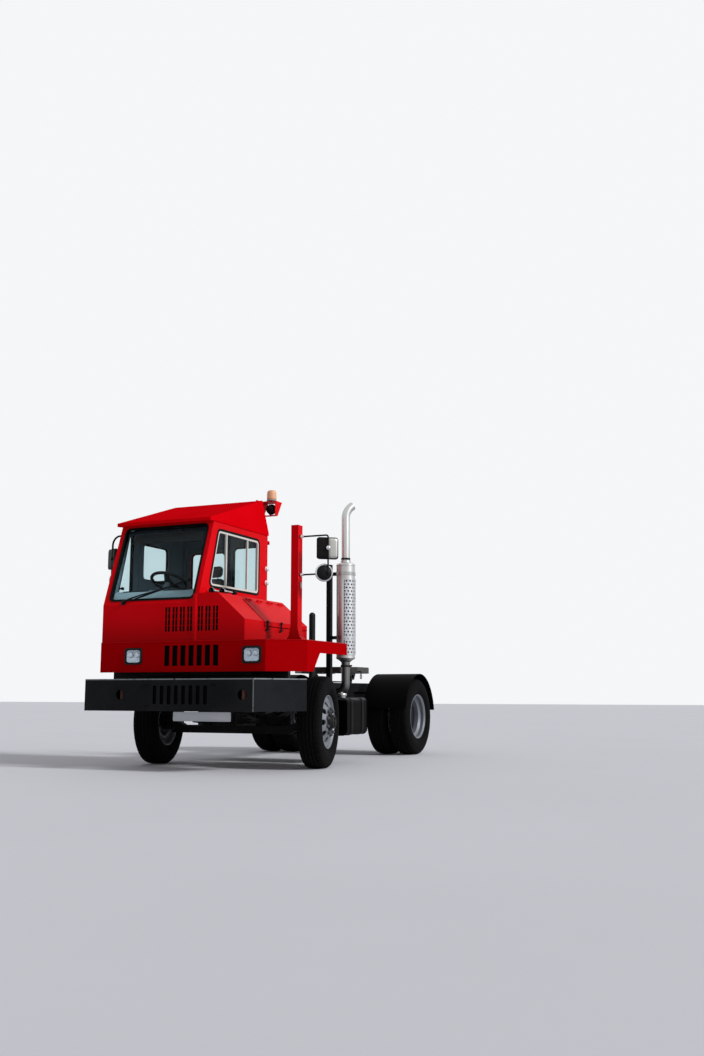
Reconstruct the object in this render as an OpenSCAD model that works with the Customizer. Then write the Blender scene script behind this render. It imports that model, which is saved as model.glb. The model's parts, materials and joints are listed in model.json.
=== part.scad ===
// Right-hand-drive 4x2 terminal tractor, millimetres.
// +X is forward, +Y is the truck's left, +Z is up, and the origin is on the ground below the middle.
// Places along the truck are given from the front axle unless a comment says otherwise.

/* [Overall] */
// Length over the bumper and the rear cross plate
overall_l = 4830; // [4700:5:5000]
// Distance between the two axles
wheelbase = 2946; // [2900:1:3000]
// Bumper face ahead of the front axle
front_overhang = 1235; // [1215:1:1260]

/* [Frame] */
// Width over the two frame rails
frame_w = 864; // [840:2:880]
// Top of the rails above the ground
rail_top = 970; // [960:1:980]

/* [Bumper] */
// Top edge of the bumper
bumper_top = 992; // [985:1:1000]
// Height of the bumper face
bumper_h = 347; // [330:1:360]
// Number of slots in the bumper face
bumper_slots = 8; // [6:1:8]

/* [Cab] */
// Right-hand side of the cab, from the centre line
cab_right = 1210; // [1200:1:1215]
// Left-hand side of the cab, past the centre line
cab_left = 50; // [40:1:60]
// Front face of the cab, ahead of the front axle
cab_front = 1000; // [990:1:1010]
// Rear wall of the cab, behind the front axle
cab_rear = 620; // [600:1:640]
// Height where the front face starts to lean back
crease_z = 1830; // [1815:1:1840]
// Height of the drip line under the roof cap
drip_z = 2790; // [2775:1:2800]
// Lean of the windscreen from upright
screen_lean = 18.5; // [16:0.5:20]
// Thickness of the cab walls and doors
cab_wall = 40; // [30:1:45]
// Top of the roof cap at its rear edge
roof_top = 3214; // [3180:1:3240]

/* [Doors] */
// Width of the right-hand door
door_w = 720; // [690:1:730]

/* [Hood] */
// Top ledge of the hood
hood_top = 1930; // [1920:1:1940]
// Outer side of the hood, from the centre line
hood_side = 652; // [645:1:660]
// Height where the slope meets the hood's side
hood_knee = 1633; // [1620:1:1645]
// Number of louvre pairs in the cab's front
cab_louvres = 4; // [3:1:4]
// Number of louvre pairs in the hood's front
hood_louvres = 3; // [2:1:3]

/* [Lower panel] */
// Front face of the lower panel, ahead of the front axle
panel_front = 1021; // [1016:1:1030]
// Top of the lower panel and of its deck
panel_top = 1405; // [1400:1:1412]
// Bottom of the lower panel
panel_low = 1067; // [1062:1:1080]
// Number of grille slots
grille_slots = 7; // [5:1:7]

/* [Mirrors] */
// Reach of the mirrors past the cab's right-hand side
mirror_arm = 270; // [260:1:280]

/* [Wheels] */
// Outer radius of the tyres
tyre_r = 515; // [505:1:520]
// Width of a tyre
tyre_w = 279; // [265:1:290]
// Front wheels' middle plane from the centre line
front_track = 1055; // [1045:1:1065]
// Angle that the front wheels stand turned to the left
steer_rest = 11; // [8:1:14]
// Clearance around pins and in eyes
pin_clear = 0.3; // [0.2:0.1:0.5]

/* [Coupling] */
// Top of the fifth wheel plate
fifth_top = 1190; // [1180:1:1200]
// Radius of a trailer's kingpin
trailer_pin_r = 25.4; // [25.4:0.1:25.4]

/* [Exhaust] */
// Radius of the muffler
muffler_r = 117; // [105:1:122]

/* [Hidden] */
$fn = 64;

// Colours
red = [0.80, 0.05, 0.07];
dark_steel = [0.10, 0.10, 0.11];
bright_steel = [0.72, 0.74, 0.76];
black_rubber = [0.04, 0.04, 0.04];
clear_glass = [0.62, 0.72, 0.76, 0.45];
grey_trim = [0.32, 0.38, 0.42];

// Small amount by which cuts run past a face
cut = 1;

// Smaller places and sizes, by section
// Frame
rail_h = 265;
rail_flange = 85;
rail_front = 1060;
// Bumper
bumper_right = 1240;
bumper_corner = 896;
bumper_left = 1218;
bumper_sweep = 613;
slot_pitch = 91;
tow_hole_r = 55;
tow_hole_y = 767;
// Cab
cab_floor = 1130;
roof_rear = 450;
visor_reach = 95;
// Windows
window_r = 60;
screen_low = 52;
screen_high = 978;
seal_w = 16;
side_low = 2026;
side_high = 2706;
side_front = 768;
side_rear = 398;
side_slope = 15.4;
// Doors
rear_door_w = 610;
door_front = 390;
door_high = 2735;
rear_door_high = 2680;
// Hood
hood_ledge = 313;
hood_rear = 530;
lid_front = 548;
lid_drop = 53;
hinge_down = 62;
louvre_pitch = 96;
louvre_low = 1513;
louvre_h = 272;
// Lower panel
panel_corner = 922;
fender_side = 1283;
fender_bend = 745;
fender_deep = 600;
fender_notch = 429;
arm_low = 1272;
arm_rear = 302;
grille_pitch = 104;
lamp_z = 1245;
lamp_y = 756;
lamp_w = 208;
lamp_h = 160;
lamp_r = 26;
// Mirrors
mirror_w = 190;
post_x = 480;
post_y = 1012;
post_top = 2700;
mirror_h = 246;
round_mirror_r = 92;
// Wheels
rear_outer = 1075;
rim_r = 299;
twin_spacing = 330;
kingpin_y = 930;
// Coupling
fifth_w = 965;
boom_ahead = 1196;
boom_pivot_z = 860;
fifth_ahead = 250;
fifth_pivot_z = 1062;
barrel_r = 52;
rod_r = 26;
lift_base_ahead = 646;
lift_base_z = 630;
lift_eye_ahead = 346;
lift_eye_z = 905;
// Exhaust
muffler_x = 1126;
muffler_y = 900;
muffler_low = 1262;
muffler_high = 2440;
tail_r = 50;
tail_high = 3080;
// Sheet, glass and pin sizes
rail_t = 10;
cross_s = 90;
bumper_t = 12;
bumper_flange = 95;
slot_w = 50;
slot_h = 200;
tow_pin_r = 20;
visor_t = 38;
roof_t = 30;
roof_proud = 10;
screen_left_edge = 60;
screen_right_edge = 70;
glass_t = 6;
seal_proud = 6;
seal_lap = 10;
bar_w = 22;
door_low = 1185;
door_gap = 6;
door_pin_r = 8;
door_window_low = 2200;
door_window_h = 442;
rear_door_edge = 80;
rear_door_t = 30;
rear_door_lap = 22;
hood_t = 8;
lid_gap = 6;
lid_lip = 14;
knuckle_r = 9;
louvre_split = 39;
louvre_w = 18;
panel_right = 1204;
panel_t = 8;
grille_w = 62;
grille_h = 223;
post_w = 88;
post_d = 108;
rim_w = 230;
kingpin_r = 22;
steer_arm = 200;
fifth_t = 34;
fifth_skirt = 80;
boom_arm_y = 262;
boom_arm_t = 36;
lift_y = 160;

// Derived places
front_x = overall_l / 2 - front_overhang;
rear_end = overall_l - front_overhang;
rear_overhang = rear_end - wheelbase;
fifth_x = wheelbase - fifth_ahead;
boom_pivot_x = fifth_x - boom_ahead;
lift_base_x = fifth_x - lift_base_ahead;
lift_eye_x = fifth_x - lift_eye_ahead;
mirror_reach = cab_right + mirror_arm;
lid_low = hood_knee - lid_drop;
rail_y = frame_w / 2;
rail_low = rail_top - rail_h;
rail_inner = rail_y - rail_t;
rail_lip = rail_y - rail_flange;
bumper_low = bumper_top - bumper_h;
screen_tan = tan(screen_lean);
screen_top_x = cab_front - (drip_z - crease_z) * screen_tan;

// Moves a piece drawn from the front axle into the part's frame.
module on_truck() {
  translate([front_x, 0, 0]) children();
}

// Carries a side view, drawn as x and z, across the truck from y0 to y1.
module across(y0, y1) {
  translate([0, y1, 0]) rotate([90, 0, 0]) linear_extrude(y1 - y0) children();
}

// Carries a front view, drawn as y and z, along the truck from x0 to x1.
module along(x0, x1) {
  translate([x0, 0, 0]) rotate([90, 0, 90]) linear_extrude(x1 - x0) children();
}

// Raises a plan from z0 to z1.
module raised(z0, z1) {
  translate([0, 0, z0]) linear_extrude(z1 - z0) children();
}

// Cuts a front view, drawn about a place on a face, back through a wall.
module punched(place, wall) {
  translate(place + [cut, 0, 0]) rotate([90, 0, -90]) linear_extrude(wall + 2 * cut) children();
}

// A box between two corners.
module block(low, high) {
  translate(low) cube(high - low);
}

// A round bar between two points.
module bar(from, to, r) {
  d = to - from;
  h = norm(d);
  translate(from)
    rotate([0, acos(d[2] / h), atan2(d[1], d[0])])
      cylinder(h = h, r = r);
}

// A round bar along Y.
module bar_y(x, z, y0, y1, r) {
  translate([x, y0, z]) rotate([-90, 0, 0]) cylinder(h = y1 - y0, r = r);
}

// A rectangle with round corners, about its middle.
module round_rect(w, h, r) {
  square([w - 2 * r, h], center = true);
  square([w, h - 2 * r], center = true);
  for (sx = [-1, 1], sy = [-1, 1])
    translate([sx * (w / 2 - r), sy * (h / 2 - r)]) circle(r = r, $fn = 32);
}

// Steps in each rounded corner of an outline
corner_steps = 6;

function unit(v) = v / norm(v);
function wrapped(a) = a > 180 ? a - 360 : a < -180 ? a + 360 : a;
function angle_of(v) = atan2(v[1], v[0]);
// Outward normal of an edge of an outline that runs counter-clockwise.
function edge_out(a, b) = let (d = unit(b - a)) [d[1], -d[0]];
// The corner of an outline moved out by d.
function moved_corner(a, b, c, d) =
  let (n1 = edge_out(a, b), n2 = edge_out(b, c)) b + d * (n1 + n2) / (1 + n1 * n2);
// An outline, running counter-clockwise, moved outwards by d.
function grown(p, d) = [
  for (i = [0:len(p) - 1])
    moved_corner(p[(i + len(p) - 1) % len(p)], p[i], p[(i + 1) % len(p)], d)
];
// The arc that replaces a corner.
function corner_arc(a, b, c, r) =
  let (
    u = unit(a - b),
    v = unit(c - b),
    half = acos(u * v) / 2,
    middle = b + unit(u + v) * r / sin(half),
    start = angle_of(b + u * r / tan(half) - middle),
    sweep = wrapped(angle_of(b + v * r / tan(half) - middle) - start)
  )
  [for (k = [0:corner_steps])
    middle + r * [cos(start + sweep * k / corner_steps), sin(start + sweep * k / corner_steps)]];
// An outline with every corner rounded to radius r.
function rounded(p, r) = [
  for (i = [0:len(p) - 1])
    for (q = corner_arc(p[(i + len(p) - 1) % len(p)], p[i], p[(i + 1) % len(p)], r)) q
];
// The strip of thickness t on the inner side of an open path, its ends cut square.
function strip(p, t) =
  let (last = len(p) - 1)
  concat(
    p,
    [for (i = [last:-1:0])
      i == last ? p[i] - t * edge_out(p[i - 1], p[i])
      : i == 0 ? p[0] - t * edge_out(p[0], p[1])
      : moved_corner(p[i - 1], p[i], p[i + 1], -t)]
  );

// Chassis

module channel_profile() {
  difference() {
    translate([rail_lip, rail_low]) square([rail_flange, rail_h]);
    translate([rail_lip - cut, rail_low + rail_t])
      square([rail_flange - rail_t + cut, rail_h - 2 * rail_t]);
  }
}

module frame_rail_left() {
  color(dark_steel) on_truck() along(-rear_end + rail_t, rail_front) channel_profile();
}

module frame_rail_right() {
  color(dark_steel) on_truck()
    mirror([0, 1, 0]) along(-rear_end + rail_t, rail_front) channel_profile();
}

// Square members between the webs, behind the front axle; the last by its share of the overhang
member_low = rail_low + rail_t;
member_x = [-900, 1060, wheelbase + 0.453 * rear_overhang];
boom_shaft_r = 35;
lift_pin_r = 18;
clevis_gap = 46;
lift_ear_t = 18;
lift_beam_x = lift_base_x - 150;
lift_beam_h = 78;

module cross_members() {
  color(dark_steel) on_truck() {
    for (x = member_x)
      block([-x - cross_s, -rail_inner, member_low], [-x, rail_inner, member_low + cross_s]);
    // Rear plate
    block([-rear_end, -rail_y, rail_low], [-rear_end + rail_t, rail_y, rail_top]);
    // Shaft that the boom turns on
    bar_y(-boom_pivot_x, boom_pivot_z, -rail_inner, rail_inner, boom_shaft_r);
    // Beam with the clevises and pins of the lift cylinders
    block([-lift_beam_x - cross_s, -rail_inner, member_low],
       [-lift_beam_x, rail_inner, member_low + lift_beam_h]);
    for (s = [-1, 1]) {
      for (e = [-1, 1])
        across_ear(s * lift_y + e * (clevis_gap + lift_ear_t) / 2);
      bar_y(-lift_base_x, lift_base_z,
         s * lift_y - clevis_gap / 2, s * lift_y + clevis_gap / 2, lift_pin_r);
    }
  }
}

// One ear of a lift cylinder's clevis, around the middle plane y.
module across_ear(y) {
  ear_r = 30;
  across(y - lift_ear_t / 2, y + lift_ear_t / 2) {
    polygon([
      [-lift_beam_x - cross_s, member_low], [-lift_base_x, lift_base_z + ear_r],
      [-lift_base_x, lift_base_z - ear_r], [-lift_base_x + ear_r, lift_base_z - ear_r],
      [-lift_beam_x, member_low]
    ]);
    translate([-lift_base_x, lift_base_z]) circle(r = ear_r);
  }
}

module bumper() {
  path = [
    [front_overhang, -bumper_right],
    [front_overhang, bumper_corner],
    [front_overhang - bumper_sweep, bumper_left]
  ];
  slot_first = -(bumper_slots - 1) * slot_pitch / 2;
  face_z = (bumper_top + bumper_low) / 2;
  color(dark_steel) on_truck() {
    difference() {
      raised(bumper_low, bumper_top) polygon(strip(path, bumper_t));
      for (i = [0:bumper_slots - 1])
        punched([front_overhang, slot_first + i * slot_pitch, face_z], bumper_t)
          round_rect(slot_w, slot_h, slot_w / 3);
      for (s = [-1, 1])
        translate([front_overhang - bumper_t - cut, s * tow_hole_y, face_z])
          rotate([0, 90, 0]) cylinder(h = bumper_t + 2 * cut, r = tow_hole_r);
    }
    for (z = [bumper_low, bumper_top - bumper_t])
      raised(z, z + bumper_t) polygon(strip(path, bumper_flange));
    // Vertical pins in the towing pockets
    for (s = [-1, 1])
      translate([front_overhang - bumper_flange / 2, s * tow_hole_y, bumper_low])
        cylinder(h = bumper_h, r = tow_pin_r);
    // Brackets on the ends of the rails
    for (s = [-1, 1])
      block([rail_front, s * (rail_y - rail_t) - (s < 0 ? rail_t : 0), rail_low],
         [front_overhang - bumper_t, s * (rail_y - rail_t) + (s > 0 ? rail_t : 0), rail_top]);
  }
}

// Engine, its sump and the radiator ahead of it
engine_y = 300;
engine_w = 400;
engine_front = 560;
engine_rear = 400;
engine_low = 980;
engine_high = 1590;
sump_low = 620;
sump_w = 300;
sump_y = 165;
radiator_x = 760;
radiator_d = 90;
radiator_w = 525;
radiator_y = 337;
radiator_high = 1600;

module engine_block() {
  color([0.45, 0.46, 0.46]) on_truck() {
    block([-engine_rear, engine_y - engine_w / 2, engine_low],
       [engine_front, engine_y + engine_w / 2, engine_high]);
    block([-engine_rear, sump_y - sump_w / 2, sump_low],
       [engine_front, sump_y + sump_w / 2, engine_low]);
    // Fan hub ahead of the block
    translate([engine_front, engine_y, (engine_low + engine_high) / 2])
      rotate([0, 90, 0]) cylinder(h = radiator_x - radiator_d - engine_front, r = 70);
  }
}

module radiator() {
  color([0.18, 0.18, 0.19]) on_truck() {
    block([radiator_x - radiator_d, radiator_y - radiator_w / 2, rail_top],
       [radiator_x, radiator_y + radiator_w / 2, radiator_high]);
  }
}

// Gearbox and propeller shaft
gearbox_rear = 980;
gearbox_r = 170;
shaft_r = 45;
gearbox_z = 745;
axle_z = tyre_r;
banjo_r = 205;

module driveline() {
  joint_rear = [-wheelbase + banjo_r + 90, 0, axle_z + 25];
  joint_front = [-gearbox_rear - 60, 0, gearbox_z - 90];
  color([0.30, 0.31, 0.32]) on_truck() {
    translate([-gearbox_rear, sump_y / 2, gearbox_z])
      rotate([0, 90, 0]) cylinder(h = gearbox_rear - engine_rear, r1 = gearbox_r * 0.7, r2 = gearbox_r);
    bar([-gearbox_rear, 0, gearbox_z - 90], joint_front, shaft_r + 15);
    bar(joint_front, joint_rear, shaft_r);
  }
}

// Front axle beam: half widths and heights of its drawn front view
beam_low = 372;
beam_high = 462;
beam_d = 90;
boss_r = 48;
boss_low = axle_z - 62;
boss_high = axle_z + 62;
spring_y = 390;
spring_w = 76;

module front_axle() {
  beam_inner = 700;
  color(dark_steel) on_truck() {
    along(-beam_d / 2, beam_d / 2)
      polygon([
        [-kingpin_y + boss_r / 2, boss_low + 10], [-beam_inner, beam_low],
        [beam_inner, beam_low], [kingpin_y - boss_r / 2, boss_low + 10],
        [kingpin_y - boss_r / 2, boss_high - 10], [beam_inner, beam_high],
        [-beam_inner, beam_high], [-kingpin_y + boss_r / 2, boss_high - 10]
      ]);
    for (s = [-1, 1]) translate([0, s * kingpin_y, 0]) {
      translate([0, 0, boss_low]) cylinder(h = boss_high - boss_low, r = boss_r);
      translate([0, 0, boss_low - yoke_t])
        cylinder(h = boss_high - boss_low + 2 * yoke_t, r = kingpin_r);
    }
  }
}

// Leaf springs: thickness of a leaf, and half lengths from the top leaf down
leaf_t = 13;
leaf_halves = [640, 520, 400, 280];
leaf_radius = 2200;

// One point of the spring's side view, at leaf edge k and half length x, above a lowest point of 0.
function leaf_point(k, x) =
  let (r = leaf_radius - k * leaf_t, a = asin(x / leaf_radius))
  [r * sin(a), leaf_radius - r * cos(a)];

module leaf_pack() {
  steps = 12;
  n = len(leaf_halves);
  across(-spring_w / 2, spring_w / 2) polygon(concat(
    [for (i = [0:steps]) leaf_point(n, leaf_halves[0] * (1 - 2 * i / steps))],
    [for (k = [0:n - 1], e = [0, 1]) leaf_point(n - k - e, -leaf_halves[k])],
    [for (i = [1:steps - 1]) leaf_point(0, -leaf_halves[n - 1] * (1 - 2 * i / steps))],
    [for (k = [n - 1:-1:0], e = [1, 0]) leaf_point(n - k - e, leaf_halves[k])]
  ));
}

module front_springs() {
  eye_r = 30;
  count = len(leaf_halves);
  spring_low = beam_high + 22;
  eye_x = leaf_halves[0];
  eye_z = spring_low + leaf_point(count, eye_x)[1];
  color(dark_steel) on_truck() for (s = [-1, 1]) translate([0, s * spring_y, 0]) {
    translate([0, 0, spring_low]) leaf_pack();
    // Seat on the axle beam, and the clamp over the leaves
    block([-beam_d / 2, -spring_w / 2, beam_high], [beam_d / 2, spring_w / 2, spring_low + leaf_t / 2]);
    block([-beam_d / 2, -spring_w / 2, spring_low + count * leaf_t - 2],
       [beam_d / 2, spring_w / 2, spring_low + count * leaf_t + 30]);
    // Hangers under the rail
    for (e = [-1, 1]) {
      bar_y(e * eye_x, eye_z, -spring_w / 2, spring_w / 2, eye_r);
      block([e * eye_x - 35, -spring_w / 2, eye_z], [e * eye_x + 35, spring_w / 2, rail_low]);
    }
  }
}

module rear_axle() {
  tube_r = 68;
  seat_w = 120;
  color(dark_steel) on_truck() translate([-wheelbase, 0, axle_z]) {
    tube_end = rear_outer - twin_spacing - tyre_w / 2 - 20;
    bar_y(0, 0, -tube_end, tube_end, tube_r);
    // Spindles that the hubs turn on
    bar_y(0, 0, -hub_face_rear, hub_face_rear, spindle_r);
    // Differential housing with its nose forward
    translate([-60, 0, 0]) rotate([0, 90, 0]) cylinder(h = 120, r = banjo_r);
    translate([60, 0, 0]) rotate([0, 90, 0]) cylinder(h = banjo_r, r1 = banjo_r * 0.8, r2 = 70);
    // Seats under the rails
    for (s = [-1, 1])
      block([-seat_w, s * (rail_y - rail_flange / 2) - rail_flange / 2, 0],
         [seat_w, s * (rail_y - rail_flange / 2) + rail_flange / 2, rail_low - axle_z]);
  }
}

// Steering

yoke_t = 36;
yoke_gap = 5;
spindle_r = 34;
hub_inner = 985;
arm_z = boss_low - yoke_t - yoke_gap;
stud_r = 15;
tie_r = 20;
tie_eye_r = 34;
tie_eye_h = 36;
tie_z = arm_z - 30;

// A knuckle for the left side, pointing straight ahead, about its kingpin.
module knuckle() {
  arm_t = 24;
  yoke_out = 44;
  yoke_in = boss_r + 6;
  spindle_out = hub_bore_end - kingpin_y;
  difference() {
    union() {
      // Upper and lower lugs around the kingpin
      for (z = [boss_high + yoke_gap, boss_low - yoke_gap - yoke_t])
        translate([0, 0, z]) {
          cylinder(h = yoke_t, r = boss_r);
          block([-boss_r, 0, 0], [boss_r, yoke_in, yoke_t]);
        }
      // Yoke outboard of the axle's boss
      block([-boss_r, yoke_in, boss_low - yoke_gap - yoke_t],
         [boss_r, yoke_in + yoke_out - boss_r / 2, boss_high + yoke_gap + yoke_t]);
      // Spindle
      bar_y(0, axle_z, yoke_in, spindle_out, spindle_r);
      // Steering arm to the rear
      block([-steer_arm, -tie_eye_r, arm_z], [0, tie_eye_r, arm_z + arm_t]);
    }
    translate([0, 0, arm_z - yoke_t])
      cylinder(h = boss_high - arm_z + 4 * yoke_t, r = kingpin_r + pin_clear);
  }
  // Ball stud under the arm
  translate([-steer_arm, 0, tie_z - tie_eye_h / 2])
    cylinder(h = arm_z - tie_z + tie_eye_h / 2 + 2, r = stud_r);
}

module knuckle_left() {
  color(dark_steel) on_truck()
    translate([0, kingpin_y, 0]) rotate([0, 0, steer_rest]) knuckle();
}

module knuckle_right() {
  color(dark_steel) on_truck()
    translate([0, -kingpin_y, 0]) rotate([0, 0, steer_rest]) mirror([0, 1, 0]) knuckle();
}

module tie_rod() {
  x = -steer_arm * cos(steer_rest);
  shift = -steer_arm * sin(steer_rest);
  color(dark_steel) on_truck() translate([x, shift, tie_z]) difference() {
    union() {
      bar_y(0, 0, -kingpin_y + tie_eye_r * 0.8, kingpin_y - tie_eye_r * 0.8, tie_r);
      for (s = [-1, 1]) translate([0, s * kingpin_y, -tie_eye_h / 2 + 2])
        cylinder(h = tie_eye_h - 4, r = tie_eye_r);
    }
    for (s = [-1, 1]) translate([0, s * kingpin_y, -tie_eye_h])
      cylinder(h = 2 * tie_eye_h, r = stud_r + pin_clear);
  }
}

// Wheels. Each is drawn about the Y axis with its outer side towards +Y.

rim_t = 9;
hub_r = 112;
hub_cap_r = 78;
drum_r = 208;
drum_w = 150;
disc_t = 12;
bolt_circle_r = 143;
hand_hole_r = 32;
hand_circle_r = 205;
hand_holes = 10;
// Front disc's outer face from the tyre's middle plane
front_outset = 132;
hub_bore_end = front_track + front_outset + 20;
hub_face_rear = rear_outer - twin_spacing / 2 + 60;

// Turns a profile, drawn as radius and y, about the Y axis.
module turned() {
  rotate([-90, 0, 0]) rotate_extrude($fn = 72) children();
}

// One rim: barrel with a drop centre and two flanges. Points are radius and distance across.
module rim_profile() {
  w = rim_w / 2;
  seat = rim_r - 14;
  drop = rim_r - 48;
  polygon([
    [rim_r, -w], [rim_r, -w + 8], [seat, -w + 16], [seat, -w * 0.42], [drop, -w * 0.2],
    [drop, w * 0.2], [seat, w * 0.42], [seat, w - 16], [rim_r, w - 8], [rim_r, w],
    [rim_r - 7, w], [seat - rim_t, w - 20], [seat - rim_t, w * 0.46], [drop - rim_t, w * 0.24],
    [drop - rim_t, -w * 0.24], [seat - rim_t, -w * 0.46], [seat - rim_t, -w + 20], [rim_r - 7, -w]
  ]);
}

// A wheel's disc, dished from the rim's barrel to the bolting face at y = face.
// The dish leaves the barrel at y = root.
module disc_profile(face, root) {
  step = face > root ? 1 : -1;
  polygon([
    [hub_r - 12, face], [bolt_circle_r + 32, face], [hand_circle_r + 22, face - step * 38],
    [rim_r - 26, root], [rim_r - 26, root - step * disc_t * 1.4],
    [hand_circle_r + 14, face - step * (38 + disc_t)],
    [bolt_circle_r + 28, face - step * disc_t], [hub_r - 12, face - step * disc_t]
  ]);
}

module hand_hole_cuts(y0, y1) {
  for (i = [0:hand_holes - 1]) rotate([0, 360 / hand_holes * (i + 0.5), 0])
    translate([0, 0, hand_circle_r]) bar_y(0, 0, y0, y1, hand_hole_r);
}

module wheel_nuts(y) {
  nut_r = 16;
  nut_h = 24;
  for (i = [0:9]) rotate([0, 36 * i, 0])
    translate([0, 0, bolt_circle_r]) bar_y(0, 0, y, y + nut_h, nut_r);
}

// Front wheel with its hub and drum, about the tyre's middle plane.
module front_wheel() {
  root = rim_w / 2 - 22;
  hub_in = hub_inner - front_track;
  difference() {
    union() {
      turned() rim_profile();
      difference() {
        turned() disc_profile(front_outset, root);
        hand_hole_cuts(root - 60, front_outset + 40);
      }
      // Hub, cap and brake drum
      turned() polygon([
        [0, front_outset - disc_t], [hub_r - 12, front_outset - disc_t], [hub_r, front_outset - 40],
        [drum_r, front_outset - 60], [drum_r, hub_in], [drum_r - 24, hub_in],
        [drum_r - 24, front_outset - 80], [hub_r - 30, front_outset - 80], [hub_r - 40, hub_in + 40],
        [0, hub_in + 40]
      ]);
      turned() polygon([
        [0, front_outset - disc_t], [hub_r - 12, front_outset - disc_t],
        [hub_r - 12, front_outset + 12], [hub_cap_r, front_outset + 16],
        [hub_cap_r - 6, front_outset + 58], [0, front_outset + 62]
      ]);
      wheel_nuts(front_outset);
    }
    // Bore for the spindle
    bar_y(0, 0, hub_in - cut, hub_bore_end - front_track + 4, spindle_r + pin_clear);
  }
}

// The tyre's section. Points are radius and distance across.
module tyre_profile() {
  w = tyre_w / 2;
  bead = rim_r - 12.5;
  seat_w = rim_w / 2 - 18;
  shoulder = tyre_r - 22;
  polygon([
    [bead, -seat_w], [rim_r + 12, -rim_w / 2 + 4], [rim_r + 92, -w], [shoulder - 34, -w + 8],
    [shoulder, -w + 22], [tyre_r, -w + 46], [tyre_r, w - 46], [shoulder, w - 22],
    [shoulder - 34, w - 8], [rim_r + 92, w], [rim_r + 12, rim_w / 2 - 4], [bead, seat_w],
    [bead + 30, seat_w - 26], [tyre_r - 40, w - 60], [tyre_r - 40, -w + 60], [bead + 30, -seat_w + 26]
  ]);
}

module tyre() {
  rotate([-90, 0, 0]) rotate_extrude($fn = 48) tyre_profile();
}

// Places a front wheel's piece on its side, turned with the steering.
module front_corner(side) {
  on_truck() translate([0, side * kingpin_y, axle_z]) rotate([0, 0, steer_rest])
    mirror([0, side < 0 ? 1 : 0, 0])
      translate([0, front_track - kingpin_y, 0]) children();
}

module wheel_front_left() {
  color(bright_steel) front_corner(1) front_wheel();
}

module wheel_front_right() {
  color(bright_steel) front_corner(-1) front_wheel();
}

module tyre_front_left() {
  color(black_rubber) front_corner(1) tyre();
}

module tyre_front_right() {
  color(black_rubber) front_corner(-1) tyre();
}

// Twin rear wheels with their hub and drum, drawn from the truck's centre line.
module rear_wheels() {
  face = rear_outer - twin_spacing / 2;
  inner = rear_outer - twin_spacing;
  drum_in = inner - tyre_w / 2 + 24;
  difference() {
    union() {
      translate([0, rear_outer, 0]) turned() rim_profile();
      translate([0, inner, 0]) turned() rim_profile();
      difference() {
        union() {
          turned() disc_profile(face, rear_outer - rim_w / 2 + 26);
          turned() disc_profile(face, inner + rim_w / 2 - 26);
          turned() polygon([
            [0, face - disc_t * 1.5], [bolt_circle_r + 30, face - disc_t * 1.5],
            [bolt_circle_r + 30, face + disc_t * 1.5], [0, face + disc_t * 1.5]
          ]);
        }
        hand_hole_cuts(inner, rear_outer);
      }
      turned() polygon([
        [0, face], [hub_r, face], [hub_r, face - 70], [drum_r, face - 90], [drum_r, drum_in],
        [drum_r - 24, drum_in], [drum_r - 24, face - 110], [hub_r - 30, face - 110],
        [hub_r - 40, drum_in + 40], [0, drum_in + 40]
      ]);
      turned() polygon([
        [0, face], [hub_r - 4, face], [hub_r - 4, face + 60], [hub_cap_r, face + 70],
        [hub_cap_r, face + 150], [0, face + 150]
      ]);
      wheel_nuts(face + disc_t * 1.5);
    }
    bar_y(0, 0, drum_in - cut, hub_face_rear + 4, spindle_r + pin_clear);
  }
}

module rear_tyres() {
  translate([0, rear_outer, 0]) tyre();
  translate([0, rear_outer - twin_spacing, 0]) tyre();
}

module rear_corner(side) {
  on_truck() translate([-wheelbase, 0, axle_z]) mirror([0, side < 0 ? 1 : 0, 0]) children();
}

module wheels_rear_left() {
  color(bright_steel) rear_corner(1) rear_wheels();
}

module wheels_rear_right() {
  color(bright_steel) rear_corner(-1) rear_wheels();
}

module tyres_rear_left() {
  color(black_rubber) rear_corner(1) rear_tyres();
}

module tyres_rear_right() {
  color(black_rubber) rear_corner(-1) rear_tyres();
}

// Cab

side_tan = tan(side_slope);
cab_outline = [
  [-cab_rear, cab_floor], [cab_front, cab_floor], [cab_front, crease_z],
  [screen_top_x, drip_z], [-cab_rear, drip_z]
];
cab_room = [
  [-cab_rear + cab_wall, cab_floor + cab_wall], [cab_front - cab_wall, cab_floor + cab_wall],
  [cab_front - cab_wall, crease_z],
  [screen_top_x - cab_wall - screen_tan * cut, drip_z + cut], [-cab_rear + cab_wall, drip_z + cut]
];
// Windscreen, drawn across and up the lean
screen_opening = [
  [-cab_right + screen_right_edge, screen_low], [cab_left - screen_left_edge, screen_low],
  [cab_left - screen_left_edge, screen_high], [-cab_right + screen_right_edge, screen_high]
];
// Left side window, drawn as x and z
left_opening = [
  [-side_rear, side_low], [side_front, side_low],
  [side_front - (side_high - side_low) * side_tan, side_high], [-side_rear, side_high]
];
// Narrow window ahead of the right-hand door, drawn as x and z
quarter_low = 1960;
quarter_rear = 500;
quarter_opening = [
  [quarter_rear, quarter_low], [side_front + 24, quarter_low],
  [side_front + 24 - (side_high - quarter_low) * side_tan, side_high], [quarter_rear, side_high]
];
quarter_r = 24;
// Fixed window in the rear wall, drawn as y and z
back_opening = [
  [-430, 2010], [cab_left - 80, 2010], [cab_left - 80, rear_door_high - 20], [-430, rear_door_high - 20]
];

// Draws in the plane of the windscreen: x is outwards, y across, z up the lean.
module on_lean() {
  translate([cab_front, 0, crease_z]) rotate([0, -screen_lean, 0]) children();
}

// Carries an outline in the windscreen's plane from depth d0 to depth d1, outwards positive.
module in_lean(d0, d1) {
  on_lean() along(d0, d1) children();
}

doorway_x0 = door_front - door_w;
rear_door_y0 = -cab_right + rear_door_edge;

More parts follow.
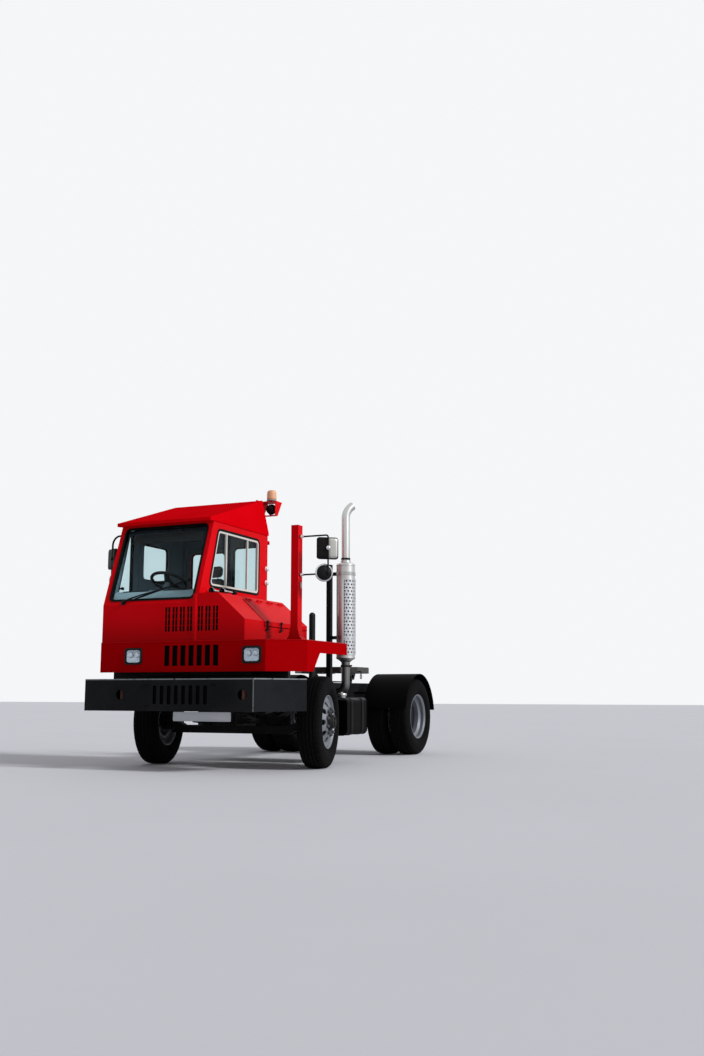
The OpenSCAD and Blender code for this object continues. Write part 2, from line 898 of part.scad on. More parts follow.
// Louvre slots with three thin bridges each, cut along X.
module louvre_cuts(first, count) {
  bridges = 4;
  bridge = 4;
  part_h = (louvre_h - (bridges - 1) * bridge) / bridges;
  for (i = [0:count - 1], side = [-0.5, 0.5], k = [0:bridges - 1])
    translate([cab_front - cab_wall - cut,
         first + i * louvre_pitch + side * louvre_split - louvre_w / 2,
         louvre_low + k * (part_h + bridge)])
      cube([cab_wall + 2 * cut, louvre_w, part_h]);
}

cab_louvre_first = -330;
hood_louvre_first = 95;
rail_depth = 52;
rail_drop = 24;
guide_clear = 0.3;
slide_gap = 6;
slide_travel = 560;
hinge_x = door_front + 10;
hinge_y = -cab_right - 16;
hinge_heights = [1330, 1750, 2560];
hinge_r = 15;
hinge_h = 50;
grip_h = 160;

module cab_shell() {
  color(red) on_truck() {
    difference() {
      across(-cab_right, cab_left) polygon(cab_outline);
      across(-cab_right + cab_wall, cab_left - cab_wall) polygon(cab_room);
      in_lean(-2 * cab_wall, cab_wall) polygon(rounded(screen_opening, window_r));
      across(cab_left - 2 * cab_wall, cab_left + cut) polygon(rounded(left_opening, window_r));
      across(-cab_right - cut, -cab_right + 2 * cab_wall)
        polygon(rounded(quarter_opening, quarter_r));
      along(-cab_rear - cut, -cab_rear + 2 * cab_wall) polygon(rounded(back_opening, window_r));
      // Doorways
      block([doorway_x0, -cab_right - cut, door_low],
         [door_front, -cab_right + cab_wall + cut, door_high]);
      block([-cab_rear - cut, rear_door_y0, door_low],
         [-cab_rear + cab_wall + cut, rear_door_y0 + rear_door_w, rear_door_high]);
      louvre_cuts(cab_louvre_first, cab_louvres);
    }
    // Rails that the rear door slides in, above and below
    rail_y0 = rear_door_y0 - rear_door_lap - 10;
    rail_y1 = cab_left;
    for (up = [0, 1]) {
      z0 = up == 1 ? rear_door_high + rear_door_lap + slide_gap : door_low - rear_door_lap - 20;
      block([-cab_rear - rail_depth, rail_y0, z0], [-cab_rear, rail_y1, z0 + 20]);
      lip_z = up == 1 ? z0 - rail_drop : z0 + 20;
      block([-cab_rear - rail_depth, rail_y0, lip_z],
         [-cab_rear - rail_depth + 8, rail_y1, lip_z + rail_drop]);
    }
    // Hinge pins of the right-hand door, each held at its bottom by a bracket
    for (z = hinge_heights) {
      translate([hinge_x, hinge_y, z - hinge_h]) cylinder(h = 2 * hinge_h, r = door_pin_r);
      translate([hinge_x, hinge_y, z - hinge_h]) cylinder(h = hinge_h - 1, r = hinge_r);
      block([hinge_x, hinge_y, z - hinge_h], [hinge_x + 40, -cab_right, z - 1]);
    }
  }
}

module side_door() {
  x0 = doorway_x0 + door_gap;
  x1 = door_front - door_gap;
  grip_x = x0 + 40;
  grip_y = -cab_right - 34;
  grip_z = 1900;
  color(red) on_truck() difference() {
    union() {
      block([x0, -cab_right, door_low + door_gap], [x1, -cab_right + cab_wall, door_high - door_gap]);
      for (z = hinge_heights) {
        translate([hinge_x, hinge_y, z]) cylinder(h = hinge_h, r = hinge_r);
        block([x1 - 60, hinge_y, z], [hinge_x, hinge_y + 12, z + hinge_h]);
        block([x1 - 60, hinge_y, z], [x1 - 20, -cab_right, z + hinge_h]);
      }
      // Handle
      block([grip_x, grip_y, grip_z], [grip_x + 24, grip_y + 12, grip_z + grip_h]);
      for (z = [grip_z, grip_z + grip_h - 20])
        block([grip_x, grip_y, z], [grip_x + 24, -cab_right, z + 20]);
    }
    for (z = hinge_heights)
      translate([hinge_x, hinge_y, z - hinge_h])
        cylinder(h = 2 * hinge_h + cut, r = door_pin_r + pin_clear);
    across(-cab_right - cut, -cab_right + cab_wall + cut) polygon(rounded(door_window, window_r));
  }
}

// Window in the right-hand door, drawn as x and z
door_window = [
  [doorway_x0 + 66, door_window_low], [door_front - 106, door_window_low],
  [door_front - 106, door_window_low + door_window_h], [doorway_x0 + 66, door_window_low + door_window_h]
];

module side_door_glass() {
  color(clear_glass) on_truck()
    across(-cab_right + cab_wall / 2, -cab_right + cab_wall / 2 + glass_t)
      polygon(rounded(door_window, window_r));
}

// Window in the sliding door, drawn as y and z
slide_window = [
  [rear_door_y0 + 55, 1700], [rear_door_y0 + rear_door_w - 55, 1700],
  [rear_door_y0 + rear_door_w - 55, rear_door_high - 60], [rear_door_y0 + 55, rear_door_high - 60]
];
slide_x0 = -cab_rear - slide_gap - rear_door_t;

module rear_door() {
  pull_y = rear_door_y0 + 14;
  pull_z = 1820;
  color(red) on_truck() difference() {
    union() {
      block([slide_x0, rear_door_y0 - rear_door_lap, door_low - rear_door_lap + guide_clear],
         [slide_x0 + rear_door_t, rear_door_y0 + rear_door_w + rear_door_lap,
         rear_door_high + rear_door_lap]);
      // Pull handle
      block([slide_x0 - 30, pull_y, pull_z], [slide_x0 - 18, pull_y + 20, pull_z + grip_h]);
      for (z = [pull_z, pull_z + grip_h - 20])
        block([slide_x0 - 30, pull_y, z], [slide_x0, pull_y + 20, z + 20]);
    }
    along(slide_x0 - cut, slide_x0 + rear_door_t + cut) polygon(rounded(slide_window, window_r));
  }
}

module rear_door_glass() {
  color(clear_glass) on_truck()
    along(slide_x0 + rear_door_t / 2, slide_x0 + rear_door_t / 2 + glass_t)
      polygon(rounded(slide_window, window_r));
}

module cab_roof() {
  visor_x = screen_top_x + visor_reach;
  y0 = -cab_right - roof_proud;
  y1 = cab_left + roof_proud;
  seat_z = drip_z - 8;
  outer = [
    [-cab_rear - roof_proud, drip_z], [visor_x, drip_z - 6], [visor_x, drip_z + visor_t - 6],
    [-roof_rear, roof_top], [-cab_rear - roof_proud, drip_z + 34]
  ];
  inner = [
    [-cab_rear + cab_wall, drip_z - cut], [screen_top_x - cab_wall, drip_z - cut],
    [screen_top_x - cab_wall, drip_z + visor_t - roof_t],
    [-roof_rear, roof_top - roof_t - 4], [-cab_rear + cab_wall, drip_z + 40]
  ];
  color(red) on_truck() difference() {
    across(y0, y1) polygon(outer);
    across(y0 + cab_wall + roof_proud, y1 - cab_wall - roof_proud) polygon(inner);
    // Seat on the cab's top edge
    across(y0 - cut, y1 + cut) {
      polygon([[screen_top_x, drip_z], [visor_x + cut, seat_z - cut], [screen_top_x, seat_z - cut]]);
      polygon([
        [-cab_rear - 2 * roof_proud, seat_z - 2], [screen_top_x + 6, seat_z - 2],
        [screen_top_x + 6, drip_z], [-cab_rear - 2 * roof_proud, drip_z]
      ]);
    }
  }
}

// Panes: each is drawn on its opening less the seal's width
module cab_glass() {
  mid = cab_wall / 2;
  color(clear_glass) on_truck() {
    in_lean(-mid, -mid + glass_t) polygon(rounded(grown(screen_opening, -seal_w), window_r - seal_w));
    across(cab_left - mid - glass_t, cab_left - mid)
      polygon(rounded(grown(left_opening, -seal_w), window_r - seal_w));
    across(-cab_right + mid, -cab_right + mid + glass_t)
      polygon(rounded(grown(quarter_opening, -seal_w), quarter_r - seal_w / 2));
    along(-cab_rear + mid, -cab_rear + mid + glass_t)
      polygon(rounded(grown(back_opening, -seal_w), window_r - seal_w));
  }
}

// A seal's face: the ring between the opening, moved out by lap, and the pane.
module seal_ring(opening, r, lap) {
  difference() {
    polygon(rounded(grown(opening, lap), r + lap));
    polygon(rounded(grown(opening, -seal_w), r - seal_w));
  }
}

module window_seals() {
  color(black_rubber) on_truck() {
    in_lean(-cab_wall, 0) seal_ring(screen_opening, window_r, 0);
    in_lean(0, seal_proud) seal_ring(screen_opening, window_r, seal_lap);
    across(cab_left - cab_wall, cab_left) seal_ring(left_opening, window_r, 0);
    across(cab_left, cab_left + seal_proud) seal_ring(left_opening, window_r, seal_lap);
    across(-cab_right, -cab_right + cab_wall) quarter_ring();
    along(-cab_rear, -cab_rear + cab_wall) seal_ring(back_opening, window_r, 0);
  }
}

module quarter_ring() {
  difference() {
    polygon(rounded(quarter_opening, quarter_r));
    polygon(rounded(grown(quarter_opening, -seal_w), quarter_r - seal_w / 2));
  }
}

// Aluminium frame with two bars, on the outside of the left window's pane
module left_window_frame() {
  // Places of the two upright bars
  bars = [384, -113];
  frame_in = 22;
  depth = cab_wall / 2 + 2;
  color(bright_steel) on_truck() across(cab_left - cab_wall / 2, cab_left - cab_wall / 2 + depth) {
    difference() {
      polygon(rounded(grown(left_opening, -seal_w), window_r - seal_w));
      polygon(rounded(grown(left_opening, -seal_w - frame_in), window_r - seal_w - frame_in / 2));
    }
    for (x = bars)
      translate([x - bar_w / 2, side_low + seal_w + frame_in / 2])
        square([bar_w, side_high - side_low - 2 * seal_w - frame_in]);
  }
}

module dashboard() {
  x1 = cab_front - cab_wall;
  y0 = -cab_right + cab_wall;
  y1 = cab_left - cab_wall;
  column_r = 32;
  column_foot = [760, wheel_y, 1540];
  column_top = wheel_centre - 90 * wheel_axis;
  // Side views of the board and of the cowl with the instruments: x, and height from the crease
  board = [[x1, -330], [x1, 0], [x1 - 12, 30], [620, 40], [590, -10], [640, -270], [760, -330]];
  cowl = [[900, 32], [700, 190], [640, 180], [618, 40]];
  cowl_w = 460;
  // Console on the left: front end, width and top
  console = [590, 160, 1690];
  color(grey_trim) on_truck() {
    across(y0, y1) polygon([for (p = board) p + [0, crease_z]]);
    across(wheel_y - cowl_w / 2, wheel_y + cowl_w / 2) polygon([for (p = cowl) p + [0, crease_z]]);
    bar(column_foot, column_top, column_r);
    translate(column_top) sphere(r = 1.15 * column_r);
    bar(column_top, wheel_centre - 24.3 * wheel_axis, column_r);
    block([0, y1 - console[1], cab_floor + cab_wall], [console[0], y1, console[2]]);
  }
}

// Steering wheel: middle, and its axis
wheel_y = -590;
wheel_centre = [600, wheel_y, 2120];
wheel_tilt = 42;
wheel_axis = [-sin(wheel_tilt), 0, cos(wheel_tilt)];
wheel_rim_r = 205;

module steering_wheel() {
  color(black_rubber) on_truck() translate(wheel_centre) rotate([0, -wheel_tilt, 0]) {
    rotate_extrude() translate([wheel_rim_r, 0]) circle(r = 16, $fn = 24);
    translate([0, 0, -24]) cylinder(h = 34, r = 46);
    for (a = [20, 160, 270]) rotate([0, 0, a]) block([30, -18, -8], [wheel_rim_r - 6, 18, 6]);
  }
}

module driver_seat() {
  place = [-140, wheel_y, cab_floor + cab_wall];
  w = 500;
  base_r = 150;
  base_h = 330;
  // Side views about the seat's middle: x, and height above the floor
  cushion = [[-220, base_h], [270, base_h], [270, 450], [-220, 450]];
  backrest = [[-220, 440], [-90, 450], [-190, 1080], [-300, 1080]];
  headrest = [[-300, 1080], [-215, 1080], [-240, 1260], [-310, 1260]];
  color([0.10, 0.10, 0.12]) on_truck() translate(place) {
    cylinder(h = base_h, r = base_r);
    across(-w / 2, w / 2) polygon(cushion);
    across(-w / 2, w / 2) polygon(backrest);
    across(-w / 4 - 5, w / 4 + 5) polygon(headrest);
  }
}

// Hood

slope_run = [hood_side - hood_ledge, hood_knee - hood_top];
slope_dir = unit(slope_run);
slope_out = [-slope_dir[1], slope_dir[0]];
// The hood's front view from the ledge's inner end to its bottom outer corner
hood_outline = [
  [cab_left, panel_top], [hood_side, panel_top], [hood_side, hood_knee],
  [hood_ledge, hood_top], [cab_left, hood_top]
];
lid_lift = 2;
hinge_yz = [hood_ledge, hood_top] + hinge_down * slope_dir + (knuckle_r + lid_lift) * slope_out;
lid_upper = hinge_down + 8;
lid_hinges = 4;
knuckle_l = 60;
lid_rear = hood_rear - 20;
// Middle of hinge i along the lid
function knuckle_x(i) = -lid_rear + (i + 0.5) * (lid_front + lid_rear) / lid_hinges;

// The hood's sheet without its right-hand wall, drawn as y and z.
module hood_sheet() {
  difference() {
    polygon(hood_outline);
    polygon([
      [cab_left - cut, panel_top - cut], [hood_side - hood_t, panel_top - cut],
      moved_corner(hood_outline[1], hood_outline[2], hood_outline[3], -hood_t),
      moved_corner(hood_outline[2], hood_outline[3], hood_outline[4], -hood_t),
      [cab_left - cut, hood_top - hood_t]
    ]);
  }
}

// The part of the sheet below the hinge and above the lid's bottom edge, let out by g.
module lid_region(g) {
  upper = [hood_ledge, hood_top] + (lid_upper - g) * slope_dir;
  polygon([
    upper - 40 * slope_out, upper + 40 * slope_out, [hood_side + 60, hood_knee + 60],
    [hood_side + 60, lid_low - g], [hood_side - 60, lid_low - g], [hood_side - 60, hood_knee - 40]
  ]);
}

module knuckle_row(odd, l, r) {
  for (i = [0:lid_hinges - 1])
    translate([knuckle_x(i) + (odd ? 1 : -1) * (knuckle_l / 2 + 0.5) - l / 2,
         hinge_yz[0], hinge_yz[1]])
      rotate([0, 90, 0]) cylinder(h = l, r = r);
}

module hood_shell() {
  color(red) on_truck() {
    difference() {
      along(-hood_rear, cab_front) hood_sheet();
      along(-lid_rear - lid_gap, lid_front + lid_gap) lid_region(lid_gap);
    }
    // Front panel with the louvres
    difference() {
      along(cab_front - hood_t, cab_front) polygon(grown_front_panel());
      louvre_cuts(hood_louvre_first, hood_louvres);
    }
    // Rear frame of the opening, and the landing under the lid
    along(-hood_rear, -hood_rear + hood_t) difference() {
      polygon(grown_front_panel());
      translate([cab_left - cut, panel_top - cut])
        square([hood_side - hood_t - 50 - cab_left + cut, hood_knee - panel_top]);
      polygon([
        [cab_left - cut, hood_knee - 2 * cut], [hood_side - hood_t - 50, hood_knee - 2 * cut],
        [hood_ledge - 30, hood_top - hood_t - 45], [cab_left - cut, hood_top - hood_t - 45]
      ]);
    }
    // Hinge knuckles on the slope, with their pins
    for (i = [0:lid_hinges - 1])
      along(knuckle_x(i) - knuckle_l - 0.5, knuckle_x(i) - 0.5)
        knuckle_leaf(hinge_down - 32);
    difference() {
      knuckle_row(false, knuckle_l, knuckle_r);
      along(-hood_rear, cab_front) lid_region(0);
    }
    knuckle_row(true, 1.5 * knuckle_l, 4);
  }
}

// A hinge leaf on the slope, from below the hinge's axis to a distance from the ledge.
// It stands clear of the sheet up to the lid's edge.
module knuckle_leaf(reach) {
  edge = reach > hinge_down ? lid_upper : hinge_down - 6;
  function at(d, h) = [hood_ledge, hood_top] + d * slope_dir + h * slope_out;
  polygon([
    at(hinge_down, lid_lift), at(edge, lid_lift), at(edge, -cut), at(reach, -cut), at(reach, 4),
    at(edge, knuckle_r), at(hinge_down, 2 * knuckle_r + lid_lift - 1)
  ]);
}

// The hood's front panel inside the sheet, seen from the front.
function grown_front_panel() = [
  [cab_left, panel_top], [hood_side - hood_t, panel_top],
  moved_corner(hood_outline[1], hood_outline[2], hood_outline[3], -hood_t),
  moved_corner(hood_outline[2], hood_outline[3], hood_outline[4], -hood_t),
  [cab_left, hood_top - hood_t]
];

module hood_lid() {
  color(red) on_truck() {
    difference() {
      union() {
        intersection() {
          along(-lid_rear, lid_front) hood_sheet();
          along(-lid_rear, lid_front) lid_region(0);
        }
        // Lip along the bottom edge
        along(-lid_rear, lid_front)
          translate([hood_side, lid_low]) square([lid_lip, hood_t]);
        knuckle_row(true, knuckle_l, knuckle_r);
        for (i = [0:lid_hinges - 1])
          along(knuckle_x(i) + 0.5, knuckle_x(i) + 0.5 + knuckle_l)
            knuckle_leaf(hinge_down + 32);
      }
      knuckle_row(true, 2 * knuckle_l, 4 + pin_clear);
    }
  }
}

// Lower panel, with the deck beside the hood and the fender's arm

module lower_panel() {
  path = [
    [panel_front, -panel_right], [panel_front, panel_corner],
    [fender_bend, fender_side], [-arm_rear, fender_side]
  ];
  grille_first = -(grille_slots - 1) * grille_pitch / 2;
  color(red) on_truck() difference() {
    union() {
      raised(panel_low, panel_top) polygon(strip(path, panel_t));
      // End plate on the right, and the lip on top of the front
      block([cab_front, -panel_right, panel_low], [panel_front, -panel_right + panel_t, panel_top]);
      block([cab_front, -panel_right, panel_top - panel_t], [panel_front, cab_left, panel_top]);
      // Deck
      raised(panel_top - panel_t, panel_top) polygon([
        [cab_front, cab_left], [panel_front - panel_t / 2, cab_left],
        [panel_front - panel_t / 2, panel_corner], [fender_bend, fender_side - panel_t / 2],
        [-arm_rear, fender_side - panel_t / 2], [-arm_rear, hood_side - 40],
        [cab_front - 40, hood_side - 40], [cab_front - 40, cab_left]
      ]);
      // Inner stringer under the deck
      block([-arm_rear, hood_side - 40, arm_low], [cab_front - 40, hood_side - 40 + panel_t, panel_top]);
    }
    // Wheel arch: everything below the arm, behind the deep part
    across(hood_side - 60, fender_side + cut) polygon([
      [fender_deep, panel_low - cut], [fender_notch, arm_low],
      [-arm_rear - cut, arm_low], [-arm_rear - cut, panel_low - cut]
    ]);
    for (i = [0:grille_slots - 1])
      punched([panel_front, grille_first + i * grille_pitch, lamp_z], panel_t)
        round_rect(grille_w, grille_h, i == 0 || i == grille_slots - 1 ? grille_w / 3 : 6);
    for (s = [-1, 1])
      punched([panel_front, s * lamp_y, lamp_z], panel_t) round_rect(lamp_w, lamp_h, lamp_r);
  }
}

bezel_w = 9;
bezel_t = 6;

module headlamps() {
  color([0.80, 0.82, 0.84]) on_truck() for (s = [-1, 1]) translate([panel_front, s * lamp_y, lamp_z]) {
    translate([bezel_t, 0, 0]) rotate([90, 0, -90]) linear_extrude(bezel_t)
      round_rect(lamp_w + 2 * bezel_w, lamp_h + 2 * bezel_w, lamp_r + 4);
    // The bowl narrows to the rear, clear of the cab's front
    rotate([90, 0, -90]) linear_extrude(cab_gap) round_rect(lamp_w - 2, lamp_h - 2, lamp_r - 1);
  }
}

cab_gap = 18;

// Tilt shaft: the cab turns forward about it
tilt_x = 900;
tilt_z = 1064;
tilt_r = 30;
tilt_bearing_w = 60;

module tilt_shaft() {
  reach = 700;
  color(dark_steel) on_truck() {
    bar_y(tilt_x, tilt_z, -reach, reach, tilt_r);
    // Brackets up to the cab's floor on the right, and forward to the lower panel
    for (y = [-620, -200])
      block([tilt_x - 40, y - 10, tilt_z], [tilt_x + 40, y + 10, cab_floor]);
    for (y = [-690, 690])
      across(y - 10, y + 10) polygon([
        [tilt_x - 30, tilt_z - 20], [panel_front - panel_t, panel_low + 4],
        [panel_front - panel_t, cab_floor - 6], [tilt_x - 30, cab_floor - 6]
      ]);
  }
}

// Mirrors

module mirror_post() {
  foot = 34;
  x0 = post_x - post_d / 2;
  x1 = post_x + post_d / 2;
  y0 = post_y - post_w / 2;
  y1 = post_y + post_w / 2;
  arm_r = 11;
  color(red) on_truck() {
    block([x0, y0, panel_top], [x1, y1, post_top]);
    // Flared foot
    along(x0, x1) polygon([
      [y0 - foot * 2, panel_top], [y1 + foot * 2, panel_top], [y1 + foot * 0.7, panel_top + 50],
      [y1, panel_top + 150], [y0, panel_top + 150], [y0 - foot * 0.7, panel_top + 50]
    ]);
  }
}

// Angle between a mirror's back and straight ahead, and places of the heads
left_turn = 37;
right_turn = -26;
flat_left_y = mirror_reach - mirror_w / 2 * cos(left_turn) - 4;
flat_z = 2425;
round_left_z = 2150;
round_right_z = 2165;
mirror_t = 34;

// A flat head about its middle, its back facing +X.
module flat_head() {
  rotate([90, 0, 90]) translate([0, 0, -mirror_t / 2]) linear_extrude(mirror_t)
    round_rect(mirror_w, mirror_h, 22);
}

module round_head() {
  rotate([0, 90, 0]) translate([0, 0, -mirror_t / 2])
    cylinder(h = mirror_t, r1 = round_mirror_r, r2 = round_mirror_r * 0.8);
}

module mirrors_left() {
  tube = 10;
  rod_y = flat_left_y;
  rod_top = 2570;
  rod_low = 2120;
  y1 = post_y + post_w / 2;
  color([0.75, 0.76, 0.78]) on_truck() {
    bar([post_x, y1, rod_top], [post_x, rod_y, rod_top], tube);
    bar([post_x, y1, rod_low + 20], [post_x, rod_y, rod_low + 20], tube);
    bar([post_x, rod_y, rod_low], [post_x, rod_y, rod_top + tube], tube);
    translate([post_x + mirror_t / 2 * cos(left_turn), rod_y, flat_z])
      rotate([0, 0, left_turn]) flat_head();
    translate([post_x + mirror_t / 2, rod_y - 40, round_left_z]) rotate([0, 0, left_turn]) round_head();
  }
}

module mirrors_right() {
  tube = 11;
  x = 640;
  loop_y = -mirror_reach + 105;
  loop_z = [2060, 2630, 2695];
  bend = 60;
  head_x = x - 20;
  color(dark_steel) on_truck() {
    bar([x, -cab_right, loop_z[2]], [x, loop_y + bend, loop_z[2]], tube);
    bar([x, loop_y + bend, loop_z[2]], [x, loop_y, loop_z[1]], tube);
    bar([x, loop_y, loop_z[1]], [x, loop_y, loop_z[0]], tube);
    bar([x, loop_y, loop_z[0]], [x, -cab_right, loop_z[0]], tube);
    for (p = [[x, loop_y + bend, loop_z[2]], [x, loop_y, loop_z[1]], [x, loop_y, loop_z[0]]])
      translate(p) sphere(r = 1.4 * tube);
    translate([head_x, -mirror_reach + mirror_w / 2 * cos(right_turn) + 8, flat_z])
      rotate([0, 0, right_turn]) flat_head();
    translate([head_x, loop_y, round_right_z]) rotate([0, 0, right_turn]) round_head();
    for (z = [flat_z, round_right_z])
      bar([x, loop_y, z], [head_x - 4, loop_y, z], 14);
  }
}

// Lamps and horns

// The roof cap's rear face at height z
function back_x(z) =
  -roof_rear - (roof_top - z) * (cab_rear + roof_proud - roof_rear) / (roof_top - drip_z - 34);

// Housing behind the roof: x at its front, top rear and bottom rear, then y and z of its sides
housing_x = [-620, -798, -680];
housing_y = [-50, 155];
housing_z = [3046, 3236];
housing_t = 8;
housing_mid = (housing_y[0] + housing_y[1]) / 2;

module lamp_housing() {
  color(red) on_truck() {
    // The inner cheek reaches forward to the roof
    across(housing_y[0], housing_y[0] + housing_t) polygon([
      [housing_x[2], housing_z[0]], [back_x(housing_z[0]), housing_z[0]],
      [back_x(roof_top - 20), roof_top - 20], [back_x(roof_top - 20) - 30, housing_z[1]],
      [housing_x[1], housing_z[1]]
    ]);
    across(housing_y[1] - housing_t, housing_y[1]) polygon([
      [housing_x[2], housing_z[0]], [housing_x[0], housing_z[0]], [housing_x[0], housing_z[1]],
      [housing_x[1], housing_z[1]]
    ]);
    block([housing_x[1], housing_y[0], housing_z[1] - housing_t],
       [housing_x[0], housing_y[1], housing_z[1]]);
    block([housing_x[2], housing_y[0], housing_z[0]],
       [housing_x[0], housing_y[1], housing_z[0] + housing_t]);
  }
}

module work_lamp() {
  r = 66;
  d = 70;
  x = housing_x[2];
  color(dark_steel) on_truck() translate([0, housing_mid, 0]) {
    translate([x, 0, (housing_z[0] + housing_z[1]) / 2]) rotate([0, 90, 0])
      cylinder(h = d, r = r, center = true);
    translate([x, 0, housing_z[0] + housing_t])
      cylinder(h = (housing_z[1] - housing_z[0]) / 2 - housing_t, r = 12);
  }
}

module beacon() {
  base_h = 34;
  base_r = 60;
  lens_h = 128;
  x = (housing_x[0] + housing_x[1]) / 2;
  color([0.95, 0.60, 0.35]) on_truck() translate([x, housing_mid, housing_z[1]]) {
    cylinder(h = base_h, r = base_r);
    translate([0, 0, base_h]) cylinder(h = lens_h, r1 = base_r - 4, r2 = base_r - 10);
  }
}

module air_horns() {
  // Each horn's side and length, and their middle's place and height
  horns = [[120, 400], [205, 470]];
  x = 720;
  z = 42;
  bell_l = 50;
  foot = [[-80, -10, -z], [-20, 10, 0]];
  color(bright_steel) on_truck() for (p = horns) translate([x, p[0], hood_top + z]) {
    translate([-p[1] / 2, 0, 0]) rotate([0, 90, 0]) cylinder(h = p[1], r1 = 14, r2 = 22);
    translate([p[1] / 2, 0, 0]) rotate([0, 90, 0]) cylinder(h = bell_l, r1 = 22, r2 = 42);
    block(foot[0], foot[1]);
  }
}

// Exhaust

module exhaust_stack() {
  bend_r = 150;
  lower_bend_r = 110;
  lower_bend_z = 952;
  color(bright_steel) on_truck() translate([-muffler_x, muffler_y, 0]) {
    translate([0, 0, muffler_low]) cylinder(h = muffler_high - muffler_low, r = muffler_r);
    translate([0, 0, muffler_high]) cylinder(h = 60, r1 = muffler_r, r2 = tail_r);
    translate([0, 0, muffler_high + 60]) cylinder(h = tail_high - muffler_high - 60, r = tail_r);
    // Tip curved to the rear
    translate([-bend_r, 0, tail_high]) rotate([90, 0, 0])
      rotate_extrude(angle = 60) translate([bend_r, 0]) circle(r = tail_r);
    // Lower pipe, down past the deck and in to the rail
    translate([0, 0, muffler_low - 60]) cylinder(h = 60, r1 = tail_r, r2 = muffler_r);
    translate([0, 0, lower_bend_z]) cylinder(h = muffler_low - 60 - lower_bend_z, r = tail_r);
    translate([0, -lower_bend_r, lower_bend_z]) rotate([-90, 0, 90])
      rotate_extrude(angle = 90) translate([lower_bend_r, 0]) circle(r = tail_r);
    bar_y(0, lower_bend_z - lower_bend_r, rail_y + pin_clear - muffler_y, -lower_bend_r, tail_r);
  }
}

module exhaust_mast() {
  mast = 60;
  stand_off = 50;
  clamp_h = 40;
  clamp_t = 8;
  clamp_z = [1500, 2300];
  x0 = -muffler_x + mast / 2;
  y0 = muffler_y - muffler_r - stand_off - mast;
  color(dark_steel) on_truck() {
    block([x0, y0, deck_top], [x0 + mast, y0 + mast, muffler_high]);
    // Clamps around the muffler
    for (z = clamp_z) translate([-muffler_x, muffler_y, z]) difference() {
      union() {
        cylinder(h = clamp_h, r = muffler_r + clamp_t);
        block([mast / 2, -muffler_r - stand_off, 0], [1.5 * mast, -muffler_r / 2, clamp_h]);
      }
      translate([0, 0, -cut]) cylinder(h = clamp_h + 2 * cut, r = muffler_r + pin_clear);
    }
  }
}

// Tanks and deck

deck_t = 12;
deck_top = rail_top + deck_t;
deck_front = 690;
deck_rear = 1420;
breather = [990, 500];
breather_r = 40;
breather_top = 1800;
step_l = 500;
step_x = -deck_front - 60 - step_l;
step_y = -rail_y - 560;
step_low = 420;
step_rise = 280;
step_t = 30;
step_side = 10;

module rear_deck() {
  color(dark_steel) on_truck() {
    block([-deck_rear, -rail_y - 40, rail_top], [-deck_front, muffler_y - 60, deck_top]);
    // Breather post with a round top
    translate([-breather[0], breather[1], 0]) {
      translate([0, 0, deck_top]) cylinder(h = breather_top - deck_top, r = breather_r);
      translate([0, 0, breather_top]) sphere(r = breather_r);
    }
    // Steps up to the rear door, on the right
    for (i = [0, 1])
      block([step_x, step_y, step_low + i * step_rise],
         [step_x + step_l, -rail_y, step_low + i * step_rise + step_t]);
    for (x = [step_x, step_x + step_l - step_side])
      block([x, step_y, step_low], [x + step_side, -rail_y, rail_top]);
  }
}

// Fuel tank: rear and front ends behind the front axle, inner and outer sides, bottom and top
tank_x = [-1270, -640];
tank_y = [490, 1130];
tank_z = [340, 780];

module fuel_tank() {
  r = 60;
  color([0.12, 0.12, 0.13]) on_truck() {
    translate([tank_x[0], (tank_y[0] + tank_y[1]) / 2, (tank_z[0] + tank_z[1]) / 2])
      rotate([90, 0, 90]) linear_extrude(tank_x[1] - tank_x[0])
        round_rect(tank_y[1] - tank_y[0], tank_z[1] - tank_z[0], r);
    // Brackets to the rail
    for (x = [tank_x[0] + 90, tank_x[1] - 140])
      block([x, rail_y, rail_low], [x + 50, tank_y[0], tank_z[1] - r]);
  }
}

// Battery box: rear and front ends behind the front axle, outer side, bottom and top
box_ends = [-1780, -1300];
box_side = -1010;
box_z = [520, 930];

module battery_box() {
  color([0.12, 0.12, 0.13]) on_truck()
    block([box_ends[0], box_side, box_z[0]], [box_ends[1], -rail_y, box_z[1]]);
}

// Lifting boom and fifth wheel

fifth_pin_r = 24;
ear_y = boom_arm_y + boom_arm_t / 2 + 6;
ear_t = 28;
lift_hole_r = 34;
lug_t = 18;
lug_gap = 62;

